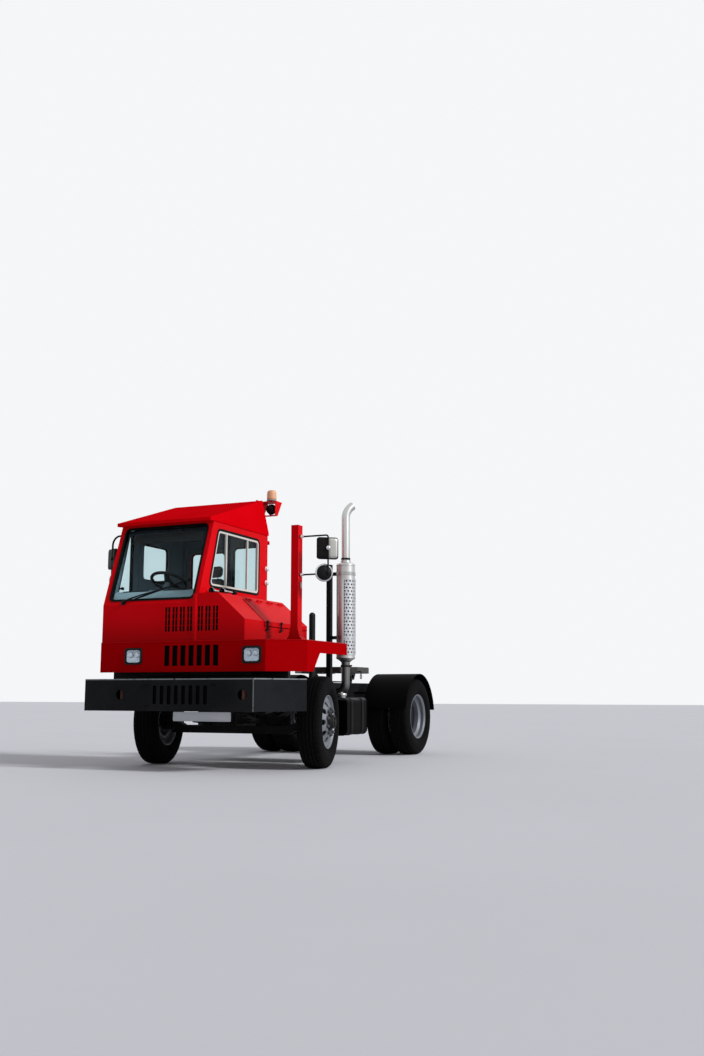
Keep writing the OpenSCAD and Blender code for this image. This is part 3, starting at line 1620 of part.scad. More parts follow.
module lift_boom() {
  eye_r = 62;
  arm_h = 120;
  box_x = lift_eye_x + 160;
  color(dark_steel) on_truck() difference() {
    union() {
      for (s = [-1, 1]) {
        y0 = s * boom_arm_y - boom_arm_t / 2;
        y1 = s * boom_arm_y + boom_arm_t / 2;
        bar_y(-boom_pivot_x, boom_pivot_z, y0, y1, eye_r);
        across(y0, y1) polygon([
          [-boom_pivot_x, boom_pivot_z - eye_r + 6], [-boom_pivot_x, boom_pivot_z + eye_r - 6],
          [-fifth_x + 160, boom_pivot_z + eye_r + 10], [-fifth_x + 40, fifth_pivot_z + 34],
          [-fifth_x - 40, fifth_pivot_z + 34], [-fifth_x - 60, fifth_pivot_z - 40],
          [-fifth_x, boom_pivot_z - 10], [-box_x, boom_pivot_z - eye_r + 6]
        ]);
        // Lugs over each rod eye
        for (e = [-1, 1])
          across(s * lift_y + e * (lug_gap + lug_t) / 2 - lug_t / 2,
             s * lift_y + e * (lug_gap + lug_t) / 2 + lug_t / 2)
            polygon([
              [-box_x - cut, boom_pivot_z + eye_r], [-box_x - cut, boom_pivot_z - 20],
              [-lift_eye_x - 20, lift_eye_z - 50], [-lift_eye_x + 52, lift_eye_z - 50],
              [-lift_eye_x + 52, lift_eye_z + 48], [-lift_eye_x - 20, boom_pivot_z + eye_r + 20]
            ]);
        // Pins that carry the fifth wheel
        bar_y(-fifth_x, fifth_pivot_z, s > 0 ? y1 - cut : y0 - ear_t - 16,
          s > 0 ? y1 + ear_t + 16 : y0 + cut, fifth_pin_r);
      }
      // Cross box
      block([-box_x - 110, -boom_arm_y, boom_pivot_z - 36], [-box_x, boom_arm_y, boom_pivot_z + eye_r]);
      // Cross tube near the pivot
      bar_y(-boom_pivot_x - 230, boom_pivot_z, -boom_arm_y, boom_arm_y, 44);
    }
    bar_y(-boom_pivot_x, boom_pivot_z, -boom_arm_y - boom_arm_t, boom_arm_y + boom_arm_t,
       boom_shaft_r + pin_clear);
    for (s = [-1, 1])
      bar_y(-lift_eye_x, lift_eye_z, s * lift_y - lug_gap, s * lift_y + lug_gap, lift_hole_r);
  }
}

// The fifth wheel's plan about its pivot, with the throat open to the rear.
fifth_front = 400;
fifth_rear = 470;
throat_r = trailer_pin_r + pin_clear;

module fifth_plan(inset) {
  w = fifth_w / 2 - inset;
  difference() {
    polygon(rounded([
      [fifth_front - inset, -w + 190], [fifth_front - inset, w - 190], [fifth_front - 170, w],
      [-170, w], [-fifth_rear + inset, w - 120], [-fifth_rear + inset, -w + 120], [-170, -w],
      [fifth_front - 170, -w]
    ], 30));
    throat(inset);
  }
}

// The slot and the flare that guide the kingpin.
module throat(inset) {
  circle(r = throat_r + inset);
  translate([-fifth_rear, -throat_r - inset]) square([fifth_rear, 2 * (throat_r + inset)]);
  polygon([
    [-150 + inset, throat_r], [-fifth_rear - cut, 170 + inset],
    [-fifth_rear - cut, -170 - inset], [-150 + inset, -throat_r]
  ]);
}

module fifth_wheel() {
  color([0.16, 0.16, 0.17]) on_truck() translate([-fifth_x, 0, 0]) difference() {
    union() {
      raised(fifth_top - fifth_t, fifth_top) fifth_plan(0);
      // Rim and jaw under the plate
      raised(fifth_top - fifth_skirt, fifth_top - fifth_t + cut)
        difference() {
          fifth_plan(0);
          difference() {
            fifth_plan(24);
            translate([-150, -130]) square([260, 260]);
          }
        }
      // Ears around the boom's pins
      for (s = [-1, 1])
        across(s * (ear_y + ear_t / 2) - ear_t / 2, s * (ear_y + ear_t / 2) + ear_t / 2)
          polygon([
            [-130, fifth_top - fifth_t + cut], [-44, fifth_pivot_z - 44], [44, fifth_pivot_z - 44],
            [130, fifth_top - fifth_t + cut]
          ]);
    }
    for (s = [-1, 1])
      bar_y(0, fifth_pivot_z, s * (ear_y + ear_t / 2) - ear_t, s * (ear_y + ear_t / 2) + ear_t,
         fifth_pin_r + pin_clear);
    // Ramps on the rear horns
    across(-fifth_w, fifth_w) polygon([
      [-fifth_rear + 150, fifth_top + cut], [-fifth_rear - 20, fifth_top - fifth_t + 6],
      [-fifth_rear - 20, fifth_top + cut]
    ]);
  }
}

lift_base = [-lift_base_x, 0, lift_base_z];
lift_eye = [-lift_eye_x, 0, lift_eye_z];
lift_len = norm(lift_eye - lift_base);
lift_dir = (lift_eye - lift_base) / lift_len;
// A place on the cylinder's axis, d from its base pin
function on_lift(d) = lift_base + d * lift_dir;
barrel_start = 52;
barrel_l = 250;

module lift_barrels() {
  color(dark_steel) on_truck() for (s = [-1, 1]) translate([0, s * lift_y, 0]) difference() {
    union() {
      bar_y(lift_base[0], lift_base[2], -clevis_gap / 2 + 3, clevis_gap / 2 - 3, 36);
      bar(on_lift(20), on_lift(barrel_start + 4), 19);
      bar(on_lift(barrel_start), on_lift(barrel_start + barrel_l), barrel_r);
    }
    bar_y(lift_base[0], lift_base[2], -clevis_gap, clevis_gap, lift_pin_r + pin_clear);
    bar(on_lift(barrel_start + 14), on_lift(barrel_start + barrel_l + cut), rod_r + pin_clear);
  }
}

module lift_rods() {
  color(bright_steel) on_truck() for (s = [-1, 1]) translate([0, s * lift_y, 0]) {
    bar(on_lift(barrel_start + 18), on_lift(lift_len - 20), rod_r);
    bar_y(lift_eye[0], lift_eye[2], -lug_gap / 2 + 8, lug_gap / 2 - 8, 38);
    bar_y(lift_eye[0], lift_eye[2], -lug_gap / 2 - lug_t, lug_gap / 2 + lug_t, 15);
  }
}

// Mudguards and tail lamps

guard_r = tyre_r + 62;
guard_t = 7;

module mudguards() {
  color(black_rubber) on_truck() translate([-wheelbase, 0, axle_z]) for (s = [-1, 1]) {
    inner = rear_outer - twin_spacing - tyre_w / 2;
    outer = rear_outer + tyre_w / 2 + 10;
    y0 = s > 0 ? inner : -outer;
    y1 = s > 0 ? outer : -inner;
    translate([0, y1, 0]) rotate([90, 0, 0]) rotate([0, 0, 12])
      linear_extrude(y1 - y0) difference() {
        guard_sector(guard_r + guard_t);
        circle(r = guard_r, $fn = 96);
      }
    // Stays from the rail
    for (a = [35, 150]) {
      x = (guard_r - 14) * cos(a);
      z = (guard_r - 14) * sin(a);
      bar_y(x, z, s > 0 ? rail_y : -inner - 300, s > 0 ? inner + 300 : -rail_y, 14);
    }
  }
}

// A sector of a disc from 0 to 160 degrees.
module guard_sector(r) {
  intersection() {
    circle(r = r, $fn = 96);
    polygon(concat([[0, 0]], [for (a = [0:20:160]) 2 * r * [cos(a), sin(a)]]));
  }
}

// Under the rear end, between the axle's seats
module tail_lamps() {
  w = 220;
  h = 60;
  d = 50;
  y = rail_lip - 17 - w / 2;
  color([0.70, 0.10, 0.08]) on_truck() for (s = [-1, 1])
    block([-rear_end + 4, s * y - w / 2, rail_low - h], [-rear_end + 4 + d, s * y + w / 2, rail_low]);
}

frame_rail_left();
frame_rail_right();
cross_members();
bumper();
engine_block();
radiator();
driveline();
front_axle();
front_springs();
rear_axle();
knuckle_left();
knuckle_right();
tie_rod();
wheel_front_left();
tyre_front_left();
wheel_front_right();
tyre_front_right();
wheels_rear_left();
tyres_rear_left();
wheels_rear_right();
tyres_rear_right();
cab_shell();
cab_roof();
lower_panel();
hood_shell();
hood_lid();
cab_glass();
window_seals();
left_window_frame();
side_door();
side_door_glass();
rear_door();
rear_door_glass();
dashboard();
driver_seat();
steering_wheel();
mirror_post();
mirrors_left();
mirrors_right();
tilt_shaft();
headlamps();
beacon();
lamp_housing();
work_lamp();
air_horns();
exhaust_stack();
exhaust_mast();
fuel_tank();
battery_box();
rear_deck();
lift_boom();
fifth_wheel();
lift_barrels();
lift_rods();
mudguards();
tail_lamps();
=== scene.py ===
import json
import math

import bpy
import numpy as np
from mathutils import Matrix


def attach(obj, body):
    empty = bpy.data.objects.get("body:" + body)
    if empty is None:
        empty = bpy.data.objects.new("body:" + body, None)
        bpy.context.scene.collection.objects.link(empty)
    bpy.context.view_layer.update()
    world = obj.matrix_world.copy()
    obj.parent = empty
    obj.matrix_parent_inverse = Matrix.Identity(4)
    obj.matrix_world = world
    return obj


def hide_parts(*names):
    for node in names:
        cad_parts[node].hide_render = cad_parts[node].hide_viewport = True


# A right-hand-drive terminal tractor: +x ahead, +y its left, +z up, in metres.
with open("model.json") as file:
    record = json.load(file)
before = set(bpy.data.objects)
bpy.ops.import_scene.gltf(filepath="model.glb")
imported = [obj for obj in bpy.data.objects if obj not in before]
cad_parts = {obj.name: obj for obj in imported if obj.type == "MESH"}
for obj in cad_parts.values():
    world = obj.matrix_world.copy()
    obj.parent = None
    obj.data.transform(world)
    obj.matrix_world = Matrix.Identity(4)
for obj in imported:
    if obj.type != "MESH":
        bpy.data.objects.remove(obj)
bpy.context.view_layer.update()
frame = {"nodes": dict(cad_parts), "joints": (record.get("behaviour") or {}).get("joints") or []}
nodes = frame["nodes"]
joints = {joint["child"]: joint for joint in frame["joints"]}
scene = bpy.context.scene
frontX = 1.180  # the front axle, ahead of the part's middle
stackX, stackY = 0.054, 0.900  # the exhaust's upright axis


# Surfaces as arrays.
def unit(vectors):  # each vector over its own length
    vectors = np.asarray(vectors, float)
    return vectors / np.linalg.norm(vectors, axis=-1, keepdims=True)


class Shell:  # points, faces of four and three corners, and each corner's place on the map
    def __init__(self, points, quads, tris=(), quadMap=None, triMap=None):
        self.points = np.asarray(points, float).reshape(-1, 3)
        self.quads = np.asarray(quads, int).reshape(-1, 4)
        self.tris = np.asarray(tris, int).reshape(-1, 3)
        self.quadMap = np.zeros((len(self.quads), 4, 2)) if quadMap is None else quadMap
        self.triMap = np.zeros((len(self.tris), 3, 2)) if triMap is None else triMap

    def __add__(self, other):  # both surfaces as one
        n = len(self.points)
        return Shell(np.r_[self.points, other.points], np.r_[self.quads, other.quads + n],
                     np.r_[self.tris, other.tris + n], np.r_[self.quadMap, other.quadMap],
                     np.r_[self.triMap, other.triMap])

    def __radd__(self, nothing):  # sum() starts from 0
        return self

    def moved(self, x, y, z):
        return Shell(self.points + [x, y, z], self.quads, self.tris, self.quadMap, self.triMap)

    def at(self, places):  # one copy at each 4 by 4 place, turned over where the place mirrors
        places = np.asarray(places, float).reshape(-1, 4, 4)
        k, n = len(places), len(self.points)
        points = np.einsum("kij,nj->kni", places[:, :3, :3], self.points) + places[:, None, :3, 3]
        shift = np.arange(k)[:, None, None] * n
        mirrored = (np.linalg.det(places[:, :3, :3]) < 0)[:, None, None]
        quads, tris = self.quads + shift, self.tris + shift
        quads = np.where(mirrored, quads[:, :, ::-1], quads)
        tris = np.where(mirrored, tris[:, :, ::-1], tris)
        return Shell(points, quads, tris, np.tile(self.quadMap, (k, 1, 1)), np.tile(self.triMap, (k, 1, 1)))


def outward(shell):  # turns every face over if together they enclose a negative volume
    p, q = shell.points - shell.points.mean(0), shell.quads
    corners = np.r_[shell.tris, q[:, [0, 1, 2]], q[:, [0, 2, 3]]]
    a, b, c = p[corners[:, 0]], p[corners[:, 1]], p[corners[:, 2]]
    if np.einsum("ij,ij->", a, np.cross(b, c)) < 0:
        lists = (q, shell.tris, shell.quadMap, shell.triMap)
        return Shell(shell.points, *(one[:, ::-1] for one in lists))
    return shell


# The surface through points[i, j]. closed joins the ends of j, ring joins the ends of i,
# and a pole at an end of i closes it with a fan.
def grid(points, closed=True, ring=False, poles=(None, None), turn=True):
    m, n = points.shape[:2]
    i, j = np.meshgrid(np.arange(m - (not ring)), np.arange(n - (not closed)), indexing="ij")
    i, j = i.ravel(), j.ravel()
    nextI, nextJ = (i + 1) % m, (j + 1) % n
    quads = np.stack([i * n + j, nextI * n + j, nextI * n + nextJ, i * n + nextJ], -1)
    u = np.stack([i, i + 1, i + 1, i], -1) / max(m - (not ring), 1)
    v = np.stack([j, j, j + 1, j + 1], -1) / max(n - (not closed), 1)
    points, tris = points.reshape(-1, 3), np.zeros((0, 3), int)
    k = np.arange(n - (not closed))
    for end, pole in enumerate(poles):
        if pole is not None:
            row = (m - 1) * n * end
            fan = np.stack([np.full_like(k, len(points)), row + k, row + (k + 1) % n], -1)
            tris = np.r_[tris, fan[:, ::-1] if end else fan]
            points = np.r_[points, [pole]]
    shell = Shell(points, quads, tris, np.stack([u, v], -1))
    return outward(shell) if turn else shell


# A rounded rectangle: quarter circles about points set in from the corners by the radius.
def roundOutline(wide, high, radius, steps=6):
    a = np.linspace(0, 0.5 * np.pi, steps)[None, :] + np.arange(4)[:, None] * 0.5 * np.pi
    x = (wide / 2 - radius) * np.array([1, -1, -1, 1])[:, None] + radius * np.cos(a)
    y = (high / 2 - radius) * np.array([1, 1, -1, -1])[:, None] + radius * np.sin(a)
    return np.stack([x, y], -1).reshape(-1, 2)


def circle(radius, steps=32, turn=0.0):  # radius times (cos, sin) of even angles
    a = np.linspace(0, 2 * np.pi, steps, endpoint=False) + turn
    return radius * np.stack([np.cos(a), np.sin(a)], -1)


def raised(flat, z):  # rows of points in a plane, each row at its own height
    return np.concatenate([flat, np.broadcast_to(np.reshape(z, (-1, 1, 1)), flat.shape[:2] + (1,))], -1)


# An outline raised along z. Near each end it draws in along its normals by edge * (1 - sin a)
# while it rises by edge * (1 - cos a), which rounds the rim.
def slab(outline, low, high, edge=0.0, steps=3):
    outline = np.asarray(outline, float)
    ahead = unit(np.roll(outline, -1, 0) - outline + 1e-12)
    normal = np.stack([ahead[:, 1], -ahead[:, 0]], -1)
    normal = normal + np.roll(normal, 1, 0)
    normal = normal / np.maximum((normal ** 2).sum(-1, keepdims=True), 0.3) * 2
    x, y = outline.T
    if (x * np.roll(y, -1) - y * np.roll(x, -1)).sum() < 0:
        normal = -normal
    a = np.linspace(0, np.pi / 2, steps) if edge else np.array([np.pi / 2])
    inset = edge * (1 - np.sin(a))
    lift = edge * (1 - np.cos(a))
    inset, z = np.r_[inset, inset[::-1]], np.r_[low + lift, high - lift[::-1]]
    flat = outline[None] - inset[:, None, None] * normal[None]
    middle = outline.mean(0)
    return grid(raised(flat, z), poles=((*middle, z[0]), (*middle, z[-1])))


def tile(wide, high, radius, low, top, edge=0.0, steps=3, corner=6):  # a slab on a rounded rectangle
    return slab(roundOutline(wide, high, radius, corner), low, top, edge, steps)


# A profile of (radius, height) turned about z. An end on the axis closes there in a pole;
# a profile that touches the axis at neither end is a closed loop.
def lathe(profile, steps=48):
    profile = np.asarray(profile, float)
    ends = [profile[k] if profile[k, 0] < 1e-6 else None for k in (0, -1)]
    rows = profile[(ends[0] is not None):(len(profile) - (ends[1] is not None))]
    a = np.linspace(0, 2 * np.pi, steps, endpoint=False)
    points = np.stack([rows[:, :1] * np.cos(a), rows[:, :1] * np.sin(a), rows[:, 1:] + 0 * a], -1)
    poles = [None if e is None else (0, 0, e[1]) for e in ends]
    return grid(points, ring=poles == [None, None], poles=poles)


# A section carried along a path: its x runs along the path's direction crossed with up,
# its y along that crossed with the direction, and radius scales it at each step.
def sweep(path, radius=1.0, section=None, sides=12, up=(0, 0, 1), ring=False, hollow=None):
    path = np.asarray(path, float)
    ahead = unit(np.roll(path, -1, 0) - np.roll(path, 1, 0) if ring else np.gradient(path, axis=0))
    side = unit(np.cross(ahead, up))
    lift = np.cross(side, ahead)
    section = circle(1.0, sides) if section is None else np.asarray(section, float)
    size = np.broadcast_to(np.asarray(radius, float), len(path))[:, None, None]
    around = section[:, :1] * side[:, None] + section[:, 1:] * lift[:, None]
    points, end = path[:, None] + size * around, path[-1]
    if hollow:  # an inner radius, and how many steps back from the end the bore goes
        inner = path[:, None] + hollow[0] * around
        points, end = np.r_[points, inner[-hollow[1]:][::-1]], path[-hollow[1]]
    return grid(points, ring=ring, poles=(None, None) if ring else (path[0], end))


# A line whose inner corners are curves (1-t)^2 a + 2t(1-t) b + t^2 c, with a and c at radius from b.
def bent(points, radius, steps=7):
    p = np.asarray(points, float)
    a = p[1:-1] + radius * unit(p[:-2] - p[1:-1])
    c = p[1:-1] + radius * unit(p[2:] - p[1:-1])
    t = np.linspace(0, 1, steps)[None, :, None]
    curve = (1 - t) ** 2 * a[:, None] + 2 * t * (1 - t) * p[1:-1, None] + t ** 2 * c[:, None]
    return np.r_[p[:1], curve.reshape(-1, 3), p[-1:]]


# A smooth line through points: each stretch is a cubic whose slopes are half its neighbours' difference.
def smooth(points, steps=6):
    p = np.asarray(points, float)
    p = np.r_[[2 * p[0] - p[1]], p, [2 * p[-1] - p[-2]]]
    a, b, c, d = p[:-3, None], p[1:-2, None], p[2:-1, None], p[3:, None]
    t = np.linspace(0, 1, steps, endpoint=False)[None, :, None]
    cubic = 3 * b - a - 3 * c + d
    line = 0.5 * (2 * b + (c - a) * t + (2 * a - 5 * b + 4 * c - d) * t ** 2 + cubic * t ** 3)
    return np.r_[line.reshape(-1, p.shape[1]), p[-2:-1]]


# A closed outline shared out again into as many points at even steps along it.
def evenly(outline, count):
    loop = np.r_[outline, outline[:1]]
    run = np.r_[0, np.cumsum(np.linalg.norm(np.diff(loop, axis=0), axis=1))]
    at = np.linspace(0, run[-1], count, endpoint=False)
    return np.stack([np.interp(at, run, loop[:, k]) for k in range(loop.shape[1])], -1)


# Places whose z axis is out and whose y axis is as near to up as it can be.
def facing(origins, out, up=(0, 0, 1)):
    origins = np.atleast_2d(np.asarray(origins, float))
    z = unit(np.broadcast_to(np.asarray(out, float), origins.shape))
    x = unit(np.cross(np.broadcast_to(np.asarray(up, float), origins.shape), z))
    places = np.zeros((len(origins), 4, 4))
    places[:, :3, 0], places[:, :3, 1], places[:, :3, 2], places[:, :3, 3] = x, np.cross(z, x), z, origins
    places[:, 3, 3] = 1
    return places


def upright(origins):  # places with z up, y ahead and x to the right
    return facing(origins, (0, 0, 1), (1, 0, 0))


def box(low, high, edge=0.003):  # a slab on the rectangle between two corners, its rims rounded
    low, high = np.asarray(low, float), np.asarray(high, float)
    size, middle = high - low, (low + high) / 2
    outline = roundOutline(size[0], size[1], max(edge, 1e-4), 4) + middle[:2]
    return slab(outline, low[2], high[2], edge)


def boxes(edge, *corners):  # several boxes with one edge
    return sum(box(low, high, edge) for low, high in corners)


# A sheet of square cells with a round hole in each: eight points on the hole and eight on the cell's
# edge, on the front and the back; every second row is moved half a cell, and wrap turns
# (across, up, depth) into place.
def perforated(across, up, count, hole, thick, wrap):
    a = np.arange(8) * np.pi / 4
    ray = np.stack([np.cos(a), np.sin(a)], -1)
    ringOut = 0.5 * ray / np.abs(ray).max(1, keepdims=True)
    cells = np.stack(np.meshgrid(*map(np.arange, count), indexing="ij"), -1).reshape(-1, 1, 1, 2)
    cells = cells + [0.5, 0] * (cells[..., 1:] % 2)
    flat = (cells + 0.5 + np.stack([ringOut, hole * ray])[None]) / count
    flat = flat * [across[1] - across[0], up[1] - up[0]] + [across[0], up[0]]
    flat = np.broadcast_to(flat[..., None, :], flat.shape[:3] + (2, 2))
    depth = np.broadcast_to([[0.0], [thick]], flat.shape[:4] + (1,))
    solid = np.concatenate([flat, depth], -1)
    k = np.arange(8)
    at = lambda ring, step, side: ring * 16 + (step % 8) * 2 + side
    one = np.concatenate([np.stack([at(0, k, 1), at(0, k + 1, 1), at(1, k + 1, 1), at(1, k, 1)], -1),
                          np.stack([at(0, k, 0), at(1, k, 0), at(1, k + 1, 0), at(0, k + 1, 0)], -1),
                          np.stack([at(1, k, 0), at(1, k, 1), at(1, k + 1, 1), at(1, k + 1, 0)], -1)])
    quads = one[None] + 32 * np.arange(len(cells))[:, None, None]
    return Shell(wrap(solid.reshape(-1, 3)), quads)


# Hexagon heads on washers, 1 across the corners before they are scaled; each stands on its place.
def boltHeads(places, size=0.022, high=0.55):
    head = slab(circle(0.5, 6), 0.1, 0.1 + high, 0.06) + slab(circle(0.68, 20), 0.0, 0.12, 0.03)
    scaled = np.asarray(places, float).copy()
    scaled[:, :3, :3] *= size
    return head.at(scaled)


# The materials by name.
paints = {}


# A new piece with its paint. It rides on a body, and may stand in for nodes of the source.
def makePiece(name, shell, paint, body="cab", replaced=(), crease=38):
    mesh = bpy.data.meshes.new(name)
    mesh.from_pydata(shell.points.tolist(), [], shell.quads.tolist() + shell.tris.tolist())
    mesh.uv_layers.new(name="map").data.foreach_set(
        "uv", np.r_[shell.quadMap.reshape(-1, 2), shell.triMap.reshape(-1, 2)].ravel())
    mesh.shade_smooth()
    mesh.set_sharp_from_angle(angle=math.radians(crease))
    mesh.materials.append(paints[paint])
    piece = bpy.data.objects.new(name, mesh)
    scene.collection.objects.link(piece)
    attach(piece, body)
    if replaced:
        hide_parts(*replaced)
    return piece


# Shader maths.
def tone(red, green, blue):  # a screen colour of 0 to 255 as light
    return tuple((np.array([red, green, blue]) / 255) ** 2.2)


class Wire:  # one output of a node; arithmetic on it adds Math nodes
    def __init__(self, nodes, socket):
        self.nodes, self.socket = nodes, socket

    def __rsub__(self, other):
        return self.nodes.calc("SUBTRACT", other, self)

    def fade(self, low, high):  # 0 at low, 1 at high, smooth between
        return self.nodes.node("ShaderNodeMapRange", {"interpolation_type": "SMOOTHSTEP"},
                               {"Value": self, "From Min": low, "From Max": high})


wireMaths = {"__add__": "ADD", "__radd__": "ADD", "__sub__": "SUBTRACT", "__mul__": "MULTIPLY",
             "__rmul__": "MULTIPLY", "__gt__": "GREATER_THAN", "__lt__": "LESS_THAN", "__pow__": "POWER",
             "most": "MAXIMUM", "least": "MINIMUM", "size": "ABSOLUTE"}
for name, operation in wireMaths.items():
    setattr(Wire, name, lambda self, *other, operation=operation: self.nodes.calc(operation, self, *other))


class Nodes:  # a node tree, and one method that adds any node to it
    def __init__(self, tree):
        self.tree = tree

    def node(self, kind, settings=None, values=None, out=0):
        item = self.tree.nodes.new(kind)
        for key, value in (settings or {}).items():
            setattr(item, key, value)
        for key, value in (values or {}).items():
            self.feed(item.inputs[key], value)
        return Wire(self, item.outputs[out])

    def feed(self, socket, value):
        if isinstance(value, Wire):
            self.tree.links.new(value.socket, socket)
        elif isinstance(value, tuple) and len(value) == 3 and socket.type == "RGBA":
            socket.default_value = (*value, 1)
        else:
            socket.default_value = value

    def calc(self, operation, *values):
        return self.node("ShaderNodeMath", {"operation": operation}, dict(enumerate(values)))


class Paint(Nodes):  # a material: one Principled shader, patterns in the object's own coordinates
    def __init__(self, name, **fixed):
        self.material = paints[name] = bpy.data.materials.new("paint_" + name)
        self.material.use_nodes = True
        super().__init__(self.material.node_tree)
        self.shader = self.tree.nodes["Principled BSDF"]
        self.place = self.node("ShaderNodeTexCoord", out="Object")
        self.put(**fixed)

    def put(self, **sockets):  # baseColor=... feeds the socket Base Color
        for key, value in sockets.items():
            words = "".join(" " + c if c.isupper() else c for c in key)
            words = words[0].upper() + words[1:]
            self.feed(self.shader.inputs[words.replace("I O R", "IOR")], value)

    def vector(self, operation, *values, out=0):
        return self.node("ShaderNodeVectorMath", {"operation": operation}, dict(enumerate(values)), out)

    def mix(self, factor, a, b):
        return self.node("ShaderNodeMix", {"data_type": "RGBA"}, {0: factor, 6: a, 7: b}, 2)

    def axes(self, vector=None):
        split = self.node("ShaderNodeSeparateXYZ", None, {0: vector or self.place})
        return [Wire(self, split.socket.node.outputs[k]) for k in range(3)]

    def noise(self, scale, detail=4.0, rough=0.55, stretch=(1, 1, 1)):
        place = self.place
        if stretch != (1, 1, 1):
            place = self.node("ShaderNodeMapping", None, {"Vector": place, "Scale": stretch})
        return self.node("ShaderNodeTexNoise", None,
                         {"Vector": place, "Scale": scale, "Detail": detail, "Roughness": rough})

    def bump(self, height, distance, edge=0.0):  # grain from a height, and edges softened by edge
        values = {"Height": height, "Distance": distance, "Strength": 1.0}
        if edge:
            values["Normal"] = self.node("ShaderNodeBevel", {"samples": 4}, {"Radius": edge})
        self.put(normal=self.node("ShaderNodeBump", None, values))


# A painted or moulded surface: two tones in broad patches, a deeper tone below two heights as painted shade,
# black painted shade in openings, a second finish where mask is 1, dust that thickens from dustTop down to
# dustLow and on faces that look up, and a fine grain.
def coated(name, colour, other=None, roughness=0.45, metallic=0.0, grain=180.0, grainDepth=0.0002, edge=0.0,
           dust=0.25, dustTone=(150, 143, 132), dustTop=1.5, dustLow=0.3, coat=0.0, second=None, mask=None,
           scuff=0.0, scuffTone=(120, 118, 114), specular=0.5, relief=None, reliefDepth=0.0, low=None,
           pit=None):
    paint = Paint(name, metallic=metallic, specularIORLevel=specular)
    x, y, z = paint.axes()
    up = paint.axes(paint.node("ShaderNodeTexCoord", out="Normal"))[2]
    patches = paint.noise(1.9, 5.0)
    speckle = paint.noise(46.0, 6.0, 0.62)
    shade = paint.mix(patches.fade(0.35, 0.68), tone(*colour), tone(*(other or colour)))
    if low:  # painted shade: a deeper tone below two heights, for the shade on the lower body
        shade = paint.mix(1 - z.fade(low[1], low[2]), shade, tone(*low[0]))
    rough = roughness + (speckle - 0.5) * 0.16
    if scuff:
        marks = paint.noise(23.0, 9.0, 0.74, (1.0, 1.0, 2.6)).fade(0.585, 0.66) * scuff
        shade = paint.mix(marks, shade, tone(*scuffTone))
        rough = rough + marks * 0.2
    film = (speckle.fade(0.36, 0.72) * (1 - z.fade(dustLow, dustTop)) + up.fade(0.55, 0.95) * 0.45) * dust
    shade = paint.mix(film, shade, tone(*dustTone))
    rough = rough + film * 0.5
    # painted shade: black in the openings that this mask gives
    if pit:
        shade = paint.mix(pit(paint, x, y, z), shade, tone(6, 5, 5))
    glossy = coat
    if mask:
        where = mask(paint, x, y, z)
        shade = paint.mix(where, shade, tone(*second["colour"]))
        rough = rough * (1 - where) + where * second["roughness"]
        if second.get("metallic", metallic) != metallic:
            paint.put(metallic=metallic + where * (second["metallic"] - metallic))
        if coat:
            glossy = coat * (1 - where)
    paint.put(baseColor=shade, roughness=rough.least(1.0).most(0.05), coatWeight=glossy)
    height = paint.noise(grain, 3.0)
    if relief:
        height = height + relief(paint, x, y, z) * (reliefDepth / grainDepth)
    paint.bump(height, grainDepth, edge)
    return paint.material


# A bare or plated metal with brushed or cloudy roughness; tint darkens it where tintMask is 1.
def metal(name, colour, roughness=0.2, cloud=0.1, stretch=(1, 1, 1), scale=60.0, edge=0.0, tintTone=None,
          tintMask=None, depth=0.0001):
    paint = Paint(name, metallic=1.0)
    x, y, z = paint.axes()
    streaks = paint.noise(scale, 5.0, 0.6, stretch)
    deeper = tone(*[c * 0.82 for c in colour])
    shade = paint.mix(paint.noise(2.6, 4.0).fade(0.3, 0.75) * 0.5, tone(*colour), deeper)
    if tintMask:
        shade = paint.mix(tintMask(paint, x, y, z), shade, tone(*tintTone))
    paint.put(baseColor=shade, roughness=roughness + (streaks - 0.5) * 2 * cloud)
    paint.bump(streaks, depth, edge)
    return paint.material


# Clear glass: light goes straight through for shadows, so that what is behind it is lit.
def glass(name, colour, roughness=0.0, ripple=0.0, scale=90.0, ior=1.45):
    paint = Paint(name, baseColor=tone(*colour), roughness=roughness, transmissionWeight=1.0, iOR=ior)
    if ripple:
        paint.bump(paint.noise(scale, 2.0), ripple)
    clear = paint.node("ShaderNodeBsdfTransparent", None, {"Color": tone(*[c * 0.97 for c in colour])})
    shadow = paint.node("ShaderNodeLightPath", out="Is Shadow Ray")
    solid = Wire(paint, paint.shader.outputs[0])
    both = paint.node("ShaderNodeMixShader", None, {"Fac": shadow, 1: solid, 2: clear})
    paint.feed(paint.tree.nodes["Material Output"].inputs["Surface"], both)


def between(wire, low, high):  # 1 between two values, else 0
    return (wire > low) * (wire < high)


cabSet = {"back": 0.562, "front": 2.158, "sill": 1.83, "lean": 0.3346, "sides": (-1.188, 0.028),
          "floor": 1.152, "roof": 3.186, "ridge": 0.73, "ahead": 0.3203, "behind": 2.167}


# Inside of the cab: behind its outer faces by half a wall, under the roof's two slopes.
def cabInside(paint, x, y, z):
    front = (cabSet["front"] - (z - cabSet["sill"]) * cabSet["lean"]).least(cabSet["front"])
    past = x - cabSet["ridge"]
    roof = (cabSet["roof"] - past * cabSet["ahead"]).least(cabSet["roof"] + past * cabSet["behind"])
    across = between(x, cabSet["back"], front) * between(y, *cabSet["sides"])
    return across * between(z, cabSet["floor"], roof)


louvreSet = {"rows": ((-0.330, -0.365, -0.008), (0.095, 0.061, 0.321)), "pitch": 0.096, "off": 0.0195,
             "half": 0.0128, "x": (2.150, 2.1815), "z": (1.513, 1.785), "bridges": 0.069, "open": 0.942}
slotSet = {"pitch": 0.104, "half": 0.0325, "across": 0.35, "middle": 1.245, "up": 0.1125,
           "x": (2.170, 2.2015)}
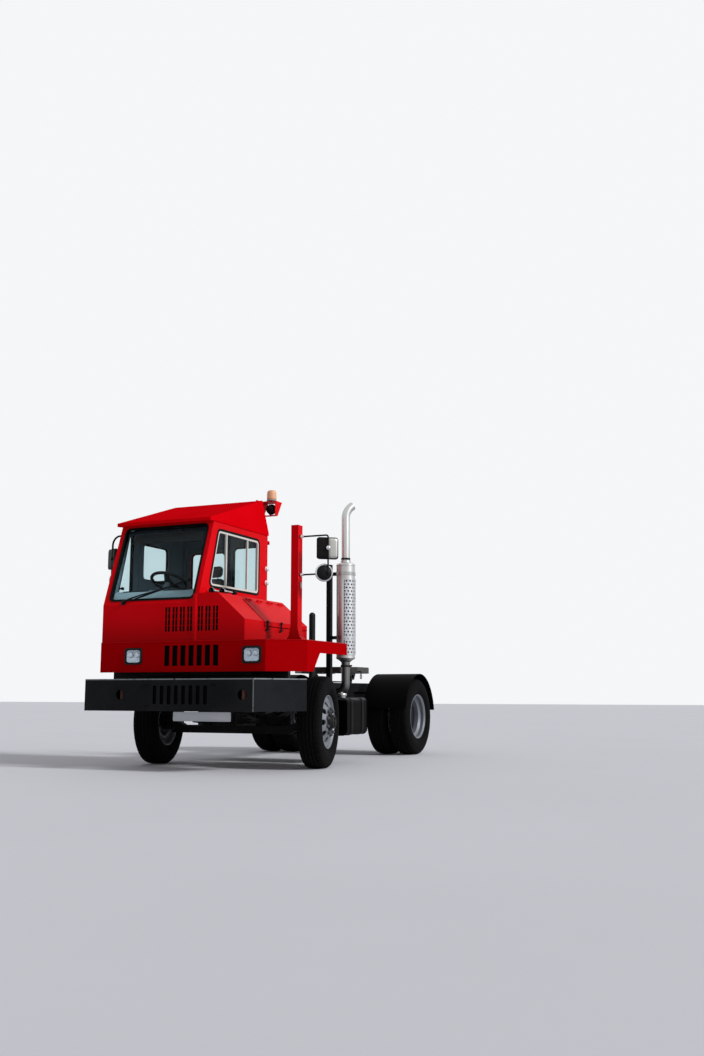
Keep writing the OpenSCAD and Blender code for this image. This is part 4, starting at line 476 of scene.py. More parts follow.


# Painted shade: black in and about the louvres and the grille's slots, on walls that lie in shade. Off is the
# distance from the middle of the nearest of a row of places, and a louvre lies to either side of each of its
# row's places.
def louvreShade(paint, x, y, z):
    spec, slots = louvreSet, slotSet
    off = lambda first, pitch: (paint.calc("FRACT", (y - first) * (1 / pitch) + 0.5) - 0.5).size() * pitch
    beside = lambda first: (off(first, spec["pitch"]) - spec["off"]).size() < spec["half"]
    left, right = (beside(first) * between(y, low, high) for first, low, high in spec["rows"])
    bridge = paint.calc("FRACT", (z - spec["z"][0]) * (1 / spec["bridges"])) < spec["open"]
    louvre = (left + right) * bridge * between(z, *spec["z"]) * between(x, *spec["x"])
    slot = (off(0.0, slots["pitch"]) < slots["half"]) * (y.size() < slots["across"])
    slot = slot * ((z - slots["middle"]).size() < slots["up"]) * between(x, *slots["x"])
    return (louvre + slot).least(1.0)


# Painted highlight on the bumper: a pale line down its bend and along its top edge, broken by patches.
def bumperEdgeHighlight(paint, x, y, z):
    bend = (1 - (y - 0.8965).size().fade(0.002, 0.006)) * 0.45
    lip = z.fade(0.976, 0.984)
    return bend.most(lip) * paint.noise(30.0, 4.0).fade(0.2, 0.5)


# Bands about the exhaust: everything of the mast that is within reach of the muffler's axis.
def mufflerBands(paint, x, y, z):
    return (x - stackX) ** 2 + (y - stackY) ** 2 < 0.1275 ** 2


# Painted shade on the muffler's side behind its pierced shield, and a darker tone on the elbow below.
def shadeBehindShield(paint, x, y, z):
    side = ((x - stackX) * 0.5 + (y - stackY) * 0.866 > 0.076) * between(z, 1.315, 2.245)
    return side.most((1 - z.fade(1.19, 1.26)) * 0.72)


# A painted highlight: a pale line along the tank's upper edge, broken by patches.
def tankEdgeHighlight(paint, x, y, z):
    return z.fade(0.742, 0.768) * (z < 0.79) * paint.noise(9.0, 3.0).fade(0.35, 0.6) * 0.3


# Tread plate: short bars that lie along one diagonal in every second square and along the other between.
def treadPlate(paint, x, y, z):
    along, over = (x + y) * 26.0, (x - y) * 26.0
    cell = lambda w: paint.calc("FLOOR", w)
    part = lambda w: (paint.calc("FRACT", w) - 0.5).size()
    odd = paint.calc("FLOORED_MODULO", cell(along) + cell(over), 2.0)
    one = (1 - part(along).fade(0.07, 0.15)) * (1 - part(over).fade(0.3, 0.42))
    two = (1 - part(over).fade(0.07, 0.15)) * (1 - part(along).fade(0.3, 0.42))
    return odd * one + (1 - odd) * two


# Threads across and along, one over the other: a product of two waves.
def weave(paint, x, y, z):
    return (paint.calc("SINE", y * 1400.0) * paint.calc("SINE", (x + z) * 1400.0) + 1) * 0.5


# Grease about the coupling's throat and on the plate behind it.
def grease(paint, x, y, z):
    return (1 - (y.size() + paint.noise(7.0, 5.0) * 0.22).fade(0.24, 0.34)) * (z > 1.05)


# The cab's red: its low tone paints the lower body's shade, and black paints the shade in the louvres and
# slots.
redSet = {"colour": (212, 12, 24), "other": (204, 9, 20), "roughness": 0.42, "grain": 420,
          "grainDepth": 0.00006, "edge": 0.003, "dust": 0.03, "dustTone": (150, 70, 66), "dustTop": 1.9,
          "dustLow": 0.9, "second": {"colour": (86, 100, 109), "roughness": 0.62},
          "low": ((160, 5, 14), 1.36, 1.78), "pit": louvreShade}
coated("cab_red", mask=cabInside, specular=0.03, **redSet)
coated("flatRed", mask=cabInside, specular=0.0, **redSet)
coated("doorRed", mask=lambda paint, x, y, z: x > 0.5532, specular=0.03, **redSet)
# The left window's frame: pale flat paint that stands in for the bright sheen of its silver metal.
coated("paleFrame", (208, 208, 200), (200, 200, 192), 0.4, dust=0.04, grain=300, specular=0.2)

# Blacks and greys of the chassis.
coated("guardBlack", (9, 9, 10), (6, 6, 7), 0.6, dust=0.05, dustTone=(48, 46, 44), grain=260, specular=0.03)
coated("chassis_grey", (27, 28, 30), (20, 21, 22), 0.56, edge=0.003, dust=0.16, dustTone=(72, 68, 63),
       dustTop=1.1, scuff=0.25, scuffTone=(60, 57, 54), specular=0.06)
# The bumper's pale second finish is a painted highlight on its bend and top edge.
coated("bumperCharcoal", (36, 37, 39), (28, 29, 31), 0.5, edge=0.004, dust=0.05, dustTone=(84, 81, 77),
       scuff=0.12, scuffTone=(66, 65, 64), mask=bumperEdgeHighlight, specular=0.03,
       second={"colour": (134, 138, 140), "roughness": 0.55})
# The tank's pale second finish is a painted highlight along its upper edge.
coated("tankBlack", (13, 13, 14), (10, 10, 11), 0.5, dust=0.05, dustTone=(50, 47, 43), specular=0.03,
       mask=tankEdgeHighlight, second={"colour": (112, 116, 120), "roughness": 0.3})
coated("deckPlate", (33, 34, 35), (24, 25, 26), 0.5, dust=0.2, dustTone=(80, 74, 66), metallic=0.2,
       specular=0.2, grainDepth=0.0003, relief=treadPlate, reliefDepth=0.0035)
coated("couplerIron", (66, 64, 62), (44, 42, 41), 0.4, metallic=0.7, edge=0.003, dust=0.1, scuff=0.5,
       scuffTone=(112, 108, 102), grain=90, grainDepth=0.0006, mask=grease,
       second={"colour": (17, 14, 11), "roughness": 0.24, "metallic": 0.0})
coated("mastSteel", (27, 28, 30), (20, 21, 22), 0.5, dust=0.1, dustTone=(72, 68, 63), specular=0.08,
       mask=mufflerBands, second={"colour": (168, 168, 168), "roughness": 0.3, "metallic": 1.0})
coated("engine_iron", (46, 46, 45), (30, 30, 30), 0.6, metallic=0.3, edge=0.004, dust=0.3,
       dustTone=(52, 45, 36), dustTop=2.2, scuff=0.5, scuffTone=(34, 29, 24), grain=70, grainDepth=0.0012,
       specular=0.25)
coated("rustedPin", (104, 70, 60), (70, 48, 42), 0.75, metallic=0.1, dust=0.1, grain=90, grainDepth=0.001,
       specular=0.1)
coated("plateGrey", (176, 179, 183), (168, 171, 176), 0.42, dust=0.15, coat=0.15, edge=0.001)
coated("nutGrey", (92, 95, 100), (78, 81, 86), metallic=0.4, dust=0.2, dustTone=(84, 78, 70))
coated("screenBlack", (7, 7, 8), (5, 5, 6), 0.8, dust=0.04, dustTone=(40, 38, 36), specular=0.05)

# Rubber, moulded plastic and what the cab is lined with.
coated("tyre", (19, 19, 20), (15, 15, 16), 0.8, dust=0.1, dustTone=(56, 53, 50), grain=300, specular=0.05)
coated("treadRubber", (19, 19, 20), (14, 14, 15), 0.78, dust=0.14, dustTone=(58, 55, 51), dustTop=1.2,
       dustLow=0.0, grain=240, grainDepth=0.0004, scuff=0.2, scuffTone=(44, 42, 40), specular=0.04)
coated("seal_rubber", (15, 15, 16), (11, 11, 12), 0.66, dust=0.06, dustTone=(60, 58, 56), grain=260,
       specular=0.08)
coated("black_plastic", (20, 20, 22), (15, 15, 17), 0.46, dust=0.06, dustTone=(70, 68, 66), grain=380,
       grainDepth=0.00015, edge=0.001, specular=0.14)
coated("grey_trim", (98, 111, 119), (88, 100, 108), 0.64, dust=0.05, grain=520, grainDepth=0.0003,
       edge=0.004, specular=0.25)
coated("dashPale", (150, 163, 170), (138, 151, 159), 0.6, dust=0.05, grain=520, grainDepth=0.0003,
       specular=0.2)
coated("seat_cloth", (38, 40, 44), (30, 31, 35), 0.9, dust=0.08, grain=700, specular=0.1, relief=weave,
       reliefDepth=0.0006)
coated("seatVinyl", (28, 29, 31), (23, 24, 26), 0.55, dust=0.05, grain=330, specular=0.2, grainDepth=0.0005)

# Lenses, glass and bright metal.
coated("amber_lens", (224, 166, 126), (214, 150, 108), 0.34, dust=0.1, coat=0.2)
coated("red_lens", (150, 16, 14), (136, 12, 12), 0.2, dust=0.2, coat=0.5)
coated("lampWhite", (228, 229, 228), (220, 220, 216), 0.22, dust=0.1, coat=0.4)
glass("pane", (222, 236, 238), ior=1.12)
glass("lens", (226, 233, 238), 0.02, 0.001, 120)
metal("bare_steel", (200, 202, 205), 0.34, 0.07, (1, 1, 0.06), 90, edge=0.002)
# The muffler's near-black tint is painted shade behind the shield, and a darker tone on the elbow.
metal("mufflerSteel", (198, 197, 196), 0.4, 0.08, (1, 1, 0.05), 80, edge=0.002, tintTone=(6, 6, 6),
      tintMask=shadeBehindShield)
metal("mirrorShell", (176, 175, 170), 0.4, 0.06, (1, 1, 0.1), 90, tintTone=(34, 34, 33),
      tintMask=lambda paint, x, y, z: 1 - y.fade(1.375, 1.43))
metal("aluminium", (178, 180, 182), 0.38, 0.08, (40, 1, 1), 30, edge=0.002)
metal("chrome", (214, 216, 219), 0.1, 0.05)
metal("mirrorGlass", (226, 230, 233), 0.03, 0.01)
metal("reflector", (206, 210, 216), 0.1, 0.04, scale=42, depth=0.004)


# A wheel's silver paint, with the hub inside a circle about its axle black and greasy.
def rimPaint(name, joint, hub):
    origin, axle = np.array(joint["pos_m"]), unit(np.array(joint["axis"]))

    def hubMask(paint, x, y, z):
        arm = paint.vector("SUBTRACT", paint.place, tuple(origin))
        away = paint.vector("CROSS_PRODUCT", arm, tuple(axle))
        return paint.vector("LENGTH", away, out="Value") < hub

    return coated(name, (124, 128, 135), (110, 114, 122), roughness=0.46, metallic=0.3, edge=0.002, dust=0.3,
                  dustTone=(92, 84, 76), dustTop=1.2, dustLow=0.1, mask=hubMask,
                  second={"colour": (22, 22, 23), "roughness": 0.5, "metallic": 0.1})


# The nodes whose paint isn't the one that their slot names.
special = {"bumper": "bumperCharcoal", "exhaust_mast": "mastSteel", "mudguards": "guardBlack",
           "rear_door": "doorRed", "cab_roof": "flatRed", "lower_panel": "flatRed",
           "left_window_frame": "paleFrame", "fuel_tank": "tankBlack", "battery_box": "tankBlack",
           "rear_deck": "deckPlate", "fifth_wheel": "couplerIron"}
for name, thing in nodes.items():
    slot = thing.material_slots[0]
    slotName = slot.material.name.split(".")[0]
    if slotName == "rim_silver":
        slot.material = rimPaint(name + "Silver", joints[name], 0.118)
    else:
        slot.material = paints[special.get(name, slotName)]
print("materials on", len(nodes), "nodes")

# A tyre's tread, and one side of its wall from bead to shoulder: radius, and how far out.
tyreSet = {"radius": 0.515, "half": 0.100, "crown": 0.006, "groove": 0.011, "depth": 0.012, "pitches": 54}
tyreWall = [(0.2865, 0.097), (0.3, 0.1055), (0.311, 0.111), (0.318, 0.1165), (0.326, 0.1185),
            (0.345, 0.130), (0.372, 0.1378), (0.391, 0.1395), (0.413, 0.1388), (0.428, 0.1388),
            (0.434, 0.1362), (0.462, 0.1312), (0.487, 0.1212), (0.5, 0.1135)]
# How far out a wheel's tyres stand, their grooves and lugs, how far out its nuts are, and how far out
# and at what radius the bolts of its hub and its cap are.
wheelKinds = {
    "wheel_front": {"rows": [0.125], "grooves": [-0.063, -0.022, 0.022, 0.063], "lugs": (0.077, 0.12, 0.0),
                    "nuts": 0.257, "hub": (0.269, 0.089), "cap": (0.3185, 0.052)},
    "wheels_rear": {"rows": [0.165, -0.165], "grooves": [-0.045, 0.0, 0.045], "lugs": (0.05, 0.3, 9.0),
                    "nuts": 0.018, "hub": (0.060, 0.093), "cap": (0.150, 0.058)}}


# A tyre about z. The walls are a smooth line from bead to shoulder; the tread's radius is
# R - crown (y / half)^2 less the depth of the grooves at fixed y, and less the lugs' cuts, which
# repeat with the angle and slant with y.
def tyreShell(grooves, lugFrom, lugShare, slant):
    half, wide = tyreSet["half"], tyreSet["groove"] / 2
    grooves = np.array(grooves)
    flanks = grooves[:, None] + [-wide - 0.001, -wide + 0.001, wide - 0.001, wide + 0.001]
    y = np.unique(np.r_[np.linspace(-half, half, 15), flanks.ravel()])
    y = y[np.abs(y) <= half]
    cut = (np.abs(y[:, None] - grooves) < wide).any(1)
    crown = tyreSet["crown"] * (y / half) ** 2
    tread = np.stack([tyreSet["radius"] - crown - tyreSet["depth"] * cut, y], -1)
    wall = smooth(tyreWall, 2)
    inside = np.array([(0.3165, 0.071), (0.475, 0.0795), (0.475, -0.0795), (0.3165, -0.071)])
    rows = np.r_[wall * [1, -1], tread, wall[::-1], inside]
    a = np.linspace(0, 2 * np.pi, 4 * tyreSet["pitches"], endpoint=False)
    away = np.abs(rows[:, 1:])
    phase = (a[None] * tyreSet["pitches"] / (2 * np.pi) + slant * away) % 1.0
    onTread = (rows[:, :1] > 0.49) & (away > lugFrom) & (away < 0.118)
    radius = rows[:, :1] - 0.009 * onTread * (phase < lugShare)
    points = np.stack([radius * np.cos(a), radius * np.sin(a), rows[:, 1:] + 0 * a], -1)
    return grid(points, ring=True)


def wheelPlace(body, along):  # on a wheel's axle, so far outwards from where it turns
    joint = joints[body]
    origin = np.array(joint["pos_m"])
    out = unit(np.array(joint["axis"])) * np.sign(origin[1])
    return origin + out * along, out


# Rings of nuts: count places at radius about the axle, each facing outwards.
def nutRing(body, along, radius, count, turn=0.0):
    origin, out = wheelPlace(body, along)
    base = facing(origin, out)[0]
    spots = np.c_[circle(radius, count, turn), np.zeros(count), np.ones(count)] @ base.T
    return facing(spots[:, :3], out, up=base[:3, 1])


capDisc = lathe([(0, 0.0), (0.036, 0.0), (0.034, 0.008), (0.01, 0.012), (0, 0.012)], 32)
for kind, wheel in wheelKinds.items():
    for body in (kind + "_left", kind + "_right"):
        places = np.concatenate([facing(*wheelPlace(body, along)) for along in wheel["rows"]])
        makePiece(body + "Tread", tyreShell(wheel["grooves"], *wheel["lugs"]).at(places), "treadRubber", body,
                  [body.replace("wheel", "tyre")], 32)
        spots = nutRing(body, wheel["nuts"], 0.143, 10, math.pi / 2)
        studs = slab(circle(0.011, 12), 0.02, 0.036, 0.003).at(spots)
        makePiece(body + "Nuts", boltHeads(spots, 0.042, 0.5) + studs, "nutGrey", body)
        hub = boltHeads(nutRing(body, *wheel["hub"], 10, 0.3), 0.017)
        hub = hub + boltHeads(nutRing(body, *wheel["cap"], 8), 0.014)
        hub = hub + capDisc.at(facing(*wheelPlace(body, wheel["cap"][0])))
        makePiece(body + "HubBolts", hub, "engine_iron", body)
print("wheels")

# Headlamps: a bezel, a bowl and a lens on each side, with two round shields.
lampSet = {"face": 2.201, "across": 0.756, "height": 1.245, "wide": 0.208, "high": 0.160, "bulbs": 0.042}
rho = np.linspace(1, 0.06, 10)  # shares of an outline, from its rim to near its middle


# An outline scaled and raised row by row, closed in the middle of its first and last rows.
def layered(outline, rows):
    rows = np.asarray(rows, float)
    flat = np.asarray(outline, float)[None] * rows[:, :1, None]
    return grid(raised(flat, rows[:, 1]), poles=((0, 0, rows[0, 1]), (0, 0, rows[-1, 1])))


# A lens. Each side, given by its rim's height and its rise, is at rim + rise (1 - rho^2).
def lensShell(outline, back, front):
    height = lambda side, share: side[0] + side[1] * (1 - share ** 2)
    return layered(outline, np.c_[np.r_[rho[::-1], rho], np.r_[height(back, rho[::-1]), height(front, rho)]])


# A frame between two outlines with as many points: t runs from the outer to the inner one.
def frameRing(outer, inner, low, high, edge=0.002):
    gap = np.linalg.norm(outer - inner, axis=1).mean()
    t = np.array([0, 0, edge / gap, 1 - edge / gap, 1, 1])[:, None, None]
    flat = outer[None] * (1 - t) + inner[None] * t
    return grid(raised(flat, [low, high - edge, high, high, high - edge, low]), ring=True)


lampPlaces = facing([(lampSet["face"], s * lampSet["across"], lampSet["height"]) for s in (1, -1)], (1, 0, 0))
bezel = frameRing(roundOutline(lampSet["wide"] + 0.026, lampSet["high"] + 0.026, 0.033),
                  roundOutline(lampSet["wide"] - 0.026, lampSet["high"] - 0.022, 0.030), 0.0, 0.009)
makePiece("headlampBezels", bezel.at(lampPlaces), "black_plastic", replaced=["headlamps"])
outline = roundOutline(lampSet["wide"] - 0.014, lampSet["high"] - 0.014, 0.02)
bowlHeights = np.r_[-0.0175, -0.0175, -0.016, 0.001 - 0.0165 * (1 - rho ** 2)]
bowl = layered(outline, np.c_[np.r_[0.2, 0.98, 1, rho * 0.97], bowlHeights])
makePiece("headlampBowls", bowl.at(lampPlaces), "reflector")
makePiece("headlampLenses", lensShell(outline, (0.002, 0.005), (0.005, 0.005)).at(lampPlaces), "lens")
bulb = lathe([(0, 0.0), (0.026, 0.0), (0.03, 0.002), (0.028, 0.005), (0.012, 0.0065), (0, 0.0065)], 28)
bulbs = bulb.moved(lampSet["bulbs"], 0.012, -0.008) + bulb.moved(-lampSet["bulbs"], 0.012, -0.008)
makePiece("headlampShields", bulbs.at(lampPlaces), "chrome")

# The beacon. Its lens is a drum whose radius is r (1 + 0.012 cos(flutes * angle)) between its rims.
beaconSet = {"spot": (0.471, 0.0525, 3.236), "flutes": 28}
base = lathe([(0, 0), (0.064, 0), (0.066, 0.010), (0.062, 0.014), (0.0615, 0.030), (0.058, 0.034),
              (0, 0.034)])
drum = lathe([(0, 0.034), (0.060, 0.034), (0.062, 0.04), (0.0615, 0.05), (0.059, 0.11), (0.057, 0.13),
              (0.050, 0.143), (0.036, 0.151), (0.015, 0.153), (0, 0.153)], 168)
angle = np.arctan2(drum.points[:, 1], drum.points[:, 0])
fluted = (drum.points[:, 2] > 0.045) & (drum.points[:, 2] < 0.135)
drum.points[:, :2] *= (1 + 0.012 * fluted * np.cos(beaconSet["flutes"] * angle))[:, None]
band = lathe([(0.0617, 0.016), (0.0632, 0.017), (0.0632, 0.027), (0.0617, 0.028)])
makePiece("beaconBase", base.moved(*beaconSet["spot"]), "black_plastic", replaced=["beacon"])
makePiece("beaconLens", drum.moved(*beaconSet["spot"]), "amber_lens")
makePiece("beaconBand", band.moved(*beaconSet["spot"]), "plateGrey")

# The work lamp: a ribbed bowl, its foot and its lens.
workSet = {"spot": (0.5, 0.0525, 3.141), "ribs": 12, "lens": 0.0595}
workPlace = facing(workSet["spot"], (-1, 0, 0))
body = lathe([(0, -0.036), (0.028, -0.035), (0.05, -0.024), (0.061, 0.0), (0.065, 0.026), (0.067, 0.028),
              (0.067, 0.037), (0.061, 0.037), (0.059, 0.03), (0, 0.012)])
ribSpots = np.c_[circle(0.051, workSet["ribs"]), np.full(workSet["ribs"], -0.002)]
body = body + slab(circle(0.004, 8), -0.03, 0.02, 0.001).at(upright(ribSpots))
body = body + box((-0.012, -0.092, -0.01), (0.012, -0.06, 0.01), 0.002)
makePiece("workLampBody", body.at(workPlace), "black_plastic", replaced=["work_lamp"])
lens = lensShell(circle(workSet["lens"], 40), (0.030, 0.004), (0.033, 0.005))
makePiece("workLampLens", lens.at(workPlace), "lens")

# Small white lamps on the cab's rear left corner, and the tail lamps' coloured blocks.
dome = lathe([(0, 0), (0.032, 0), (0.034, 0.010), (0.030, 0.013), (0.0275, 0.028), (0.017, 0.037),
              (0, 0.039)], 32)
makePiece("sideLamps", dome.at(facing([(0.593, 0.050, z) for z in (2.366, 2.193)], (0, 1, 0))), "lampWhite")
tailPlaces = facing([(-2.361, s * 0.220, 0.675) for s in (1, -1)], (-1, 0, 0))
for name, paint, low, high, replaced in (
        ("tailLampBoxes", "black_plastic", (-0.110, -0.030, 0.0), (0.110, 0.030, 0.051), ["tail_lamps"]),
        ("tailLampReds", "red_lens", (-0.103, -0.024, 0.050), (0.030, 0.024, 0.062), []),
        ("tailLampAmbers", "amber_lens", (0.036, -0.024, 0.050), (0.103, 0.024, 0.062), [])):
    makePiece(name, box(low, high, 0.004).at(tailPlaces), paint, "chassis", replaced)
print("lamps")

# Mirrors: a flat head above and a round one below on each side.
mirrorSet = {"wide": 0.190, "high": 0.246, "corner": 0.026}
flatOutline = roundOutline(mirrorSet["wide"], mirrorSet["high"], mirrorSet["corner"], 8)
flatBody = layered(flatOutline, [(0.2, -0.0165), (0.95, -0.017), (1, -0.013), (1, 0.003), (0.985, 0.009),
                                 (0.94, 0.012), (0.2, 0.0125)])
flatBack = layered(flatOutline, [(0.2, 0.011), (0.9, 0.011), (0.9, 0.0145), (0.86, 0.0175), (0.7, 0.0188),
                                 (0.2, 0.019)])
flatGlass = layered(flatOutline, [(0.2, -0.0175), (0.92, -0.0175), (0.92, -0.0165), (0.2, -0.0165)])
roundBody = lathe([(0, 0.0185), (0.03, 0.0175), (0.058, 0.0125), (0.078, 0.003), (0.088, -0.008),
                   (0.0905, -0.0165), (0.084, -0.0172), (0, -0.0172)])
roundRim = lathe([(0.0905, -0.018), (0.0945, -0.0155), (0.0945, -0.006), (0.086, 0.0035), (0.080, 0.0065),
                  (0.078, 0.0035), (0.088, -0.0075), (0.0895, -0.012), (0.087, -0.018)])
roundGlass = lathe([(0, -0.0195), (0.04, -0.0188), (0.0865, -0.0168), (0.0865, -0.0158), (0, -0.0158)])
clamp = lathe([(0, -0.018), (0.019, -0.018), (0.022, -0.01), (0.022, 0.01), (0.019, 0.018), (0, 0.018)], 24)

# Each side's tube and its feet on the post or the cab, its clamps, and its two heads: how far from the
# tube's x, where they look, and how much larger than the outlines they are.
mirrorSides = {
    "Left": {"x": frontX + 0.480, "rod": 1.400, "footY": 1.056, "footZ": (2.57, 2.14),
             "clamps": (2.425, 2.15), "flat": (-0.0248, 1.3813, 2.425), "round": (0.017, 1.36, 2.15),
             "turned": 37, "larger": (1.28, 1.06)},
    "Right": {"x": frontX + 0.640, "rod": -1.375, "footY": -1.21, "footZ": (2.695, 2.06),
              "clamps": (2.425, 2.165), "flat": (-0.02, -1.3866, 2.425), "round": (-0.02, -1.375, 2.165),
              "turned": -26, "larger": (1, 1)}}
for side, spec in mirrorSides.items():
    x, rod, footY, (topZ, lowZ) = spec["x"], spec["rod"], spec["footY"], spec["footZ"]
    if side == "Left":
        tubes = sweep(bent([(x, footY, topZ), (x, rod, topZ), (x, rod, 2.118)], 0.03), 0.0095, up=(1, 0, 0))
        tubes = tubes + sweep([(x, footY, lowZ), (x, 1.2, lowZ), (x, rod, lowZ)], 0.0095)
    else:
        tubes = sweep(bent([(x, footY, topZ), (x, -1.315, topZ), (x, rod, 2.63), (x, rod, lowZ),
                            (x, footY, lowZ)], 0.045), 0.0115, up=(1, 0, 0))
    tubes = tubes + clamp.at(upright([(x, rod, z) for z in spec["clamps"]]))
    feet = facing([(x, footY, z) for z in (topZ, lowZ)], (0, np.sign(footY), 0))
    turned = math.radians(spec["turned"])
    out = (math.cos(turned), math.sin(turned), 0)
    flat, ball = (facing(np.array(spec[head]) + [x, 0, 0], out) for head in ("flat", "round"))
    flat[:, :3, 0] *= spec["larger"][0]
    ball[:, :3, :2] *= spec["larger"][1]
    makePiece("mirrorTubes" + side, tubes + tile(0.06, 0.036, 0.012, 0.0, 0.006, 0.002).at(feet),
              "black_plastic", replaced=["mirrors_" + side.lower()])
    makePiece("mirrorHeads" + side, flatBody.at(flat) + roundBody.at(ball), "black_plastic")
    makePiece("mirrorBack" + side, flatBack.at(flat), "mirrorShell")
    makePiece("mirrorRim" + side, roundRim.at(ball), "chrome")
    makePiece("mirrorGlass" + side, flatGlass.at(flat) + roundGlass.at(ball), "mirrorGlass")
leftX = mirrorSides["Left"]["x"]
knob = lathe([(0, 0), (0.02, 0), (0.023, 0.006), (0.021, 0.016), (0.013, 0.02), (0.0125, 0.045),
              (0, 0.045)], 24)
grip = lathe([(0, 0), (0.022, 0), (0.026, 0.006), (0.024, 0.020), (0.014, 0.026), (0, 0.028)], 24)
knobs = knob.at(facing([(leftX, 1.058, 2.57), (leftX, 1.058, 2.14)], (0, 1, 0)))
makePiece("mirrorKnobs", knobs + grip.at(facing([(leftX, 1.400, 2.425)], (0.8, 0.6, 0))), "chrome")
print("mirrors")

# The windscreen's lean in degrees, and the x and z of its foot.
screenSet = {"lean": 18.5, "foot": (2.180, 1.830)}
leanAngle = math.radians(screenSet["lean"])
screenOut = (math.cos(leanAngle), 0, math.sin(leanAngle))


# A point given across the cab, up the windscreen's lean and out of its plane.
def onScreen(points):
    across, upLean, out = np.moveaxis(np.asarray(points, float), -1, 0)
    x, z = screenSet["foot"]
    return np.stack([x - upLean * math.sin(leanAngle) + out * math.cos(leanAngle), across,
                     z + upLean * math.cos(leanAngle) + out * math.sin(leanAngle)], -1)


# The wiper: an arm from its pivot to the blade's middle, and the blade from heel to tip.
wiperSet = {"pivot": (-0.935, 0.024), "tip": (-0.085, 0.289), "heel": (-0.79, 0.069), "held": 0.42}
pivot, tip, heel = (np.array(wiperSet[end]) for end in ("pivot", "tip", "heel"))
middle = heel + wiperSet["held"] * (tip - heel)
armLine = [(*pivot, 0.022), (*(pivot + 0.3 * (middle - pivot) + [0, 0.008]), 0.03), (*middle, 0.016)]
armPath = onScreen(smooth(armLine, 8))
armSizes = np.linspace(1.2, 0.75, len(armPath))
wiper = sweep(armPath, armSizes, roundOutline(0.012, 0.022, 0.005, 4), up=screenOut)
t = np.linspace(0, 1, 16)[:, None]
for height, section in ((0.004 + 0.006 * np.sin(np.pi * t), roundOutline(0.010, 0.014, 0.004, 4)),
                        (-0.008 + 0 * t, roundOutline(0.004, 0.014, 0.0015, 3))):
    wiper = wiper + sweep(onScreen(np.c_[heel + t * (tip - heel), height]), 1.0, section, up=screenOut)
boss = lathe([(0, 0), (0.03, 0), (0.031, 0.008), (0.021, 0.012), (0.018, 0.03), (0.008, 0.034),
              (0, 0.034)], 28)
makePiece("wiper", wiper + boss.at(facing(onScreen([(*pivot, 0.0)]), screenOut)), "black_plastic")


# Black screens behind the louvres and the grille, painted shade seen through them: a plate whose face is
# ribbed by a wave across.
def ribbed(low, high, ribs):
    y = np.linspace(low[1], high[1], 8 * ribs + 1)
    wave = 0.0012 * np.cos(2 * np.pi * ribs * (y - low[1]) / (high[1] - low[1]))
    front = np.stack([high[0] + wave - 0.0012, y], -1)
    outline = np.r_[front, [(low[0], high[1]), (low[0], low[1])]]
    middle = ((low[0] + high[0]) / 2, (low[1] + high[1]) / 2)
    flat = np.broadcast_to(outline, (2,) + outline.shape)
    return grid(raised(flat, [low[2], high[2]]), poles=((*middle, low[2]), (*middle, high[2])))


makePiece("airScreens", ribbed((2.166, -0.405, 1.500), (2.1735, 0.012, 1.798), 40)
          + ribbed((2.160, 0.056, 1.500), (2.170, 0.380, 1.798), 32)
          + ribbed((2.1815, -0.365, 1.125), (2.1895, 0.365, 1.366), 70), "screenBlack")

# The number plate, blank, on two straps.
plateSet = {"middle": (2.398, 0.275, 0.591), "wide": 0.71, "high": 0.098}
wide, high = plateSet["wide"], plateSet["high"]
inner = roundOutline(wide - 0.014, high - 0.014, 0.008)
plate = frameRing(roundOutline(wide, high, 0.012), inner, 0.0, 0.006, 0.0015)
plate = plate + tile(wide - 0.012, high - 0.012, 0.008, 0.0, 0.003, 0.001)
makePiece("numberPlate", plate.at(facing(plateSet["middle"], (1, 0, 0))), "plateGrey", "chassis")
makePiece("plateStraps", boxes(0.002, ((2.386, 0.02, 0.56), (2.397, 0.05, 0.646)),
                               ((2.386, 0.50, 0.56), (2.397, 0.53, 0.646))), "chassis_grey", "chassis")

# Tow pockets: a cup behind each hole, and the rusted pin that stands in it.
towSet = {"sides": (0.767, -0.767), "mouthX": 2.415, "height": 0.8185, "pinX": 2.3675, "pin": 0.0245}
cup = lathe([(0.0545, -0.004), (0.0545, -0.075), (0.002, -0.076), (0.002, -0.079), (0.060, -0.079),
             (0.060, -0.013), (0.0575, -0.0125)])
pin = slab(circle(towSet["pin"], 24), 0.70, 0.94, 0.003)
pins = pin.at(upright([(towSet["pinX"], y, 0.0) for y in towSet["sides"]]))
cups = cup.at(facing([(towSet["mouthX"], y, towSet["height"]) for y in towSet["sides"]], (1, 0, 0)))
makePiece("towPockets", cups, "screenBlack", "chassis")
makePiece("towPins", pins, "rustedPin", "chassis")
# A black sheet behind the bumper's openings: painted shade seen through them.
makePiece("bumperScreen", box((2.388, -0.36, 0.70), (2.396, 0.36, 0.94), 0.002), "screenBlack", "chassis")
spots = facing([(2.4155, y, z) for y in (-0.43, -0.40, 0.40, 0.43) for z in (0.71, 0.93)], (1, 0, 0))
makePiece("bumperBolts", boltHeads(spots, 0.020), "chassis_grey", "chassis")
makePiece("apron", box((2.014, -1.15, 0.972), (2.020, 1.10, 1.10), 0.002), "seal_rubber", "chassis")
print("cab front")

# A ridge along the lower panel's top edge, and the folded edge between the cab's front and the hood's.
edgeSet = {"panelTop": 1.400, "foldX": (2.1790, 2.192, 2.1790), "foldY": (-0.004, 0.034, 0.052)}
panelTop = edgeSet["panelTop"]
ridge = np.array([(-0.006, -0.006), (0, -0.006), (0.0035, -0.004), (0.0045, 0), (0.003, 0.0035),
                  (-0.001, 0.0062), (-0.006, 0.0068)])
ridgePath = bent([(2.2005, -1.202, panelTop), (2.2005, 0.922, panelTop), (1.925, 1.283, panelTop),
                  (0.880, 1.283, panelTop)], 0.02)
fold = slab(np.c_[edgeSet["foldX"], edgeSet["foldY"]], 1.4075, 1.925)
makePiece("panelRidges", sweep(ridgePath, 1.0, ridge) + fold, "cab_red")

